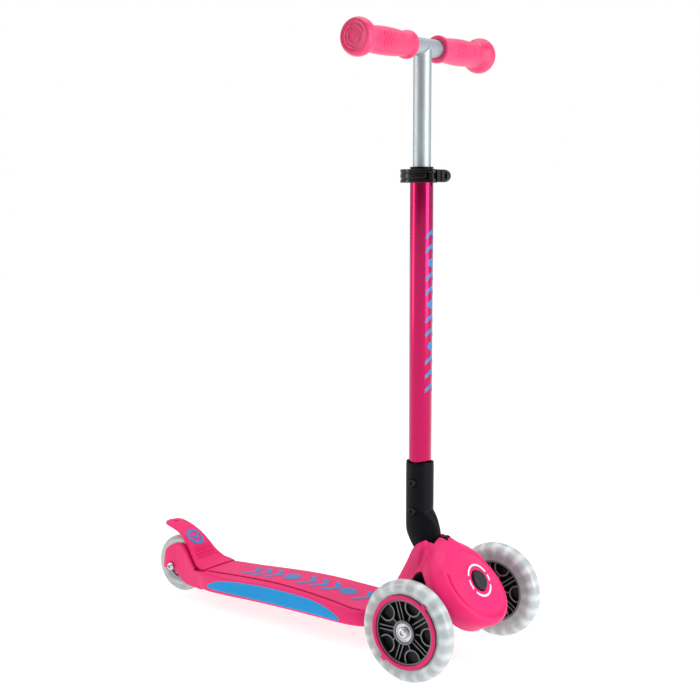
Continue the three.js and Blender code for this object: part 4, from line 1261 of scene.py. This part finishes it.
GRIP_PROFILE = [
    (11.4, 0), (15.0, 0), (16.3, 0.8), (16.9, 2.6), (16.8, 5), (16.2, 6.6), (14.8, 8.6), (14.3, 11),
    (14.6, 16), (15.6, 28), (16.3, 42), (16.4, 54), (16.0, 66), (15.3, 76), (15.2, 82), (16.2, 86.5), (18.4, 90),
    (20.6, 93.5), (21.8, 97), (22.1, 100), (21.8, 103), (20.8, 105.8), (19.4, 107.8), (17.8, 108.6),
]


def grip_radius(place):
    return at([(y, radius) for radius, y in GRIP_PROFILE[1:]], place)[1]


def make_grips():
    span = GRIP_OUTER - GRIP_INNER
    scale = span / GRIP_PROFILE[-1][1]
    end = span / scale
    bar_end = (BAR_HALF + 0.6 - GRIP_INNER) / scale
    face = [(r, end - drop) for r, drop in ((16.6, 0.25), (15.9, 0.75), (10, 0.7), (4, 0.6), (0, 0.6))]
    sleeve = lathe([GRIP_PROFILE[0]] + smooth_rows(GRIP_PROFILE[1:], 4) + face, 128)
    for name, sign in SIDES.items():
        def placed(shape, side=sign):
            return shape.mapped(
                lambda x, y, z: Vector((STEM_X + x, side * (GRIP_INNER + z * scale), BAR_Z + y))
            )

        grip = make(f"grip_sleeve_{name}", placed(sleeve), 40)
        carve(grip, placed(disc(11.4, -5, bar_end, 96)))
        emboss = [
            ring_sector(inner, inner + 1.3, start, start + reach, 0.4).moved(0, 0, end - 0.6)
            for inner, start, reach in ((12.0, 20, 250), (7.6, 110, 230))
        ]
        fuse(grip, *[placed(part) for part in emboss + grip_bumps()])
        bevel(grip, 0.25, angle=40)
        finish_piece(grip, "bar", "pink_soft", GRIP, f"grip_{name}")


def grip_bumps():
    """Short raised bars in rows round the barrel, two patches on opposite sides."""
    bumps = []
    for base in (math.pi, 0):
        for row in range(7):
            place = 30 + row * 6.2
            radius = grip_radius(place)
            for column in range(-2, 3):
                bar = block(radius - 0.8, -1.3, -1.9, radius + 0.45, 1.3, 1.9)
                bumps.append(bar.moved(0, 0, place + (column % 2) * 1.2).turned(base + column * 0.24))
    return bumps


# ------------------------------------------------------------------ CAD nodes that stay

def keep_nodes():
    steel = [
        "kingpin", "kingpin_nut", "fold_pin", "rear_axle_nut", "rear_bearing_spacer", "brake_pin",
        "brake_spring", "clamp_lever_pin", *[f"housing_screw_{n}" for n in (1, 2, 3, 4)],
    ]
    for side in SIDES:
        steel += [f"axle_spacer_{side}", f"axle_magnet_{side}", f"bearing_{side}_inner"]
    for material, nodes in ((STEEL, steel), (BLACK_STEEL, ["clamp_bolt"]), (RUBBER, ["steering_bush"])):
        for node in nodes:
            for entry in frame["nodes"][node].material_slots:
                entry.material = material


# ------------------------------------------------------------------ floor, light, camera

CAMERA = Vector((1.0514, -1.3318, 0.5666))
TARGET = Vector((0.0483, 0.0012, 0.3907))


def make_floor():
    floor = make("floor", block(-6000, -6000, -20, 6000, 6000, -0.2))
    nodes = Surface("floor_paper")
    floor.data.materials.append(nodes.shaded({
        "Base Color": nodes.blend(nodes.noise(3, 2), (0.42, 0.42, 0.42), (0.45, 0.45, 0.45)),
        "Roughness": nodes.spread(nodes.noise(40), 0.3, 0.7, 0.8, 0.9),
        "Specular IOR Level": 0.0,
        "Emission Color": (1, 1, 1, 1),
        "Emission Strength": 0.78,
    }))


def look_at(obj, target):
    obj.rotation_euler = (target - obj.location).to_track_quat("-Z", "Y").to_euler()


def softbox(name, azimuth, elevation, distance, width, height, power):
    """A large soft light. Azimuth is measured from the camera's side, to the right as the camera sees it."""
    light = bpy.data.lights.new(name, "AREA")
    light.shape = "RECTANGLE"
    light.size, light.size_y = width, height
    light.energy = power
    obj = add_object(name, light)
    start = math.atan2(CAMERA.y - TARGET.y, CAMERA.x - TARGET.x)
    turn = start + math.radians(azimuth)
    rise = math.radians(elevation)
    reach = Vector((math.cos(turn) * math.cos(rise), math.sin(turn) * math.cos(rise), math.sin(rise)))
    obj.location = TARGET + reach * distance
    look_at(obj, TARGET)


def make_world():
    """White for the camera; for light and reflections a pale room that is darker behind the camera."""
    world = bpy.data.worlds.new("studio")
    bpy.context.scene.world = world
    nodes = Nodes(world, "ShaderNodeOutputWorld")
    away = (CAMERA - TARGET).normalized()
    dark_side = Matrix.Rotation(math.radians(-10), 3, "Z") @ Vector((away.x, away.y, 0)).normalized()
    place = nodes.add("ShaderNodeTexCoord").outputs["Generated"]
    dot = nodes.fill(nodes.add("ShaderNodeVectorMath", operation="DOT_PRODUCT"), {0: place, 1: dark_side})
    room_light = nodes.spread(dot.outputs["Value"], 0.55, 0.93, 0.62, 0.12, "SMOOTHSTEP")
    room, seen = (
        nodes.fill(nodes.add("ShaderNodeBackground"), {0: (1, 1, 1, 1), 1: strength}).outputs[0]
        for strength in (room_light, 1.0)
    )
    camera_ray = nodes.add("ShaderNodeLightPath").outputs["Is Camera Ray"]
    mix = nodes.fill(nodes.add("ShaderNodeMixShader"), {0: camera_ray, 1: room, 2: seen})
    nodes.link(mix.outputs[0], nodes.output, 0)


def make_camera():
    data = bpy.data.cameras.new("camera")
    data.sensor_width = 36
    data.lens = 67.4
    data.shift_x = 0.0082
    data.shift_y = -0.0255
    camera = add_object("camera", data)
    camera.location = CAMERA
    look_at(camera, TARGET)
    bpy.context.scene.camera = camera


make_camera()
make_world()
make_floor()
softbox("key", azimuth=58, elevation=12, distance=1.5, width=0.75, height=1.7, power=17)
softbox("fill", azimuth=-86, elevation=8, distance=1.5, width=0.5, height=1.7, power=9)
softbox("top", azimuth=150, elevation=78, distance=2.2, width=1.8, height=1.8, power=26)
bpy.context.scene.view_settings.view_transform = "Standard"

make_housing()
make_hood_ring()
make_buttons()
make_deck()
make_inserts()
make_deck_print()
make_brake()
make_brake_badge()
make_truck()
for side_name, side_sign in SIDES.items():
    make_front_wheel(side_name, side_sign)
make_rear_wheel()
make_elbow()
make_tube()
make_tube_print()
make_clamp()
make_lever()
make_handlebar()
make_grips()
keep_nodes()
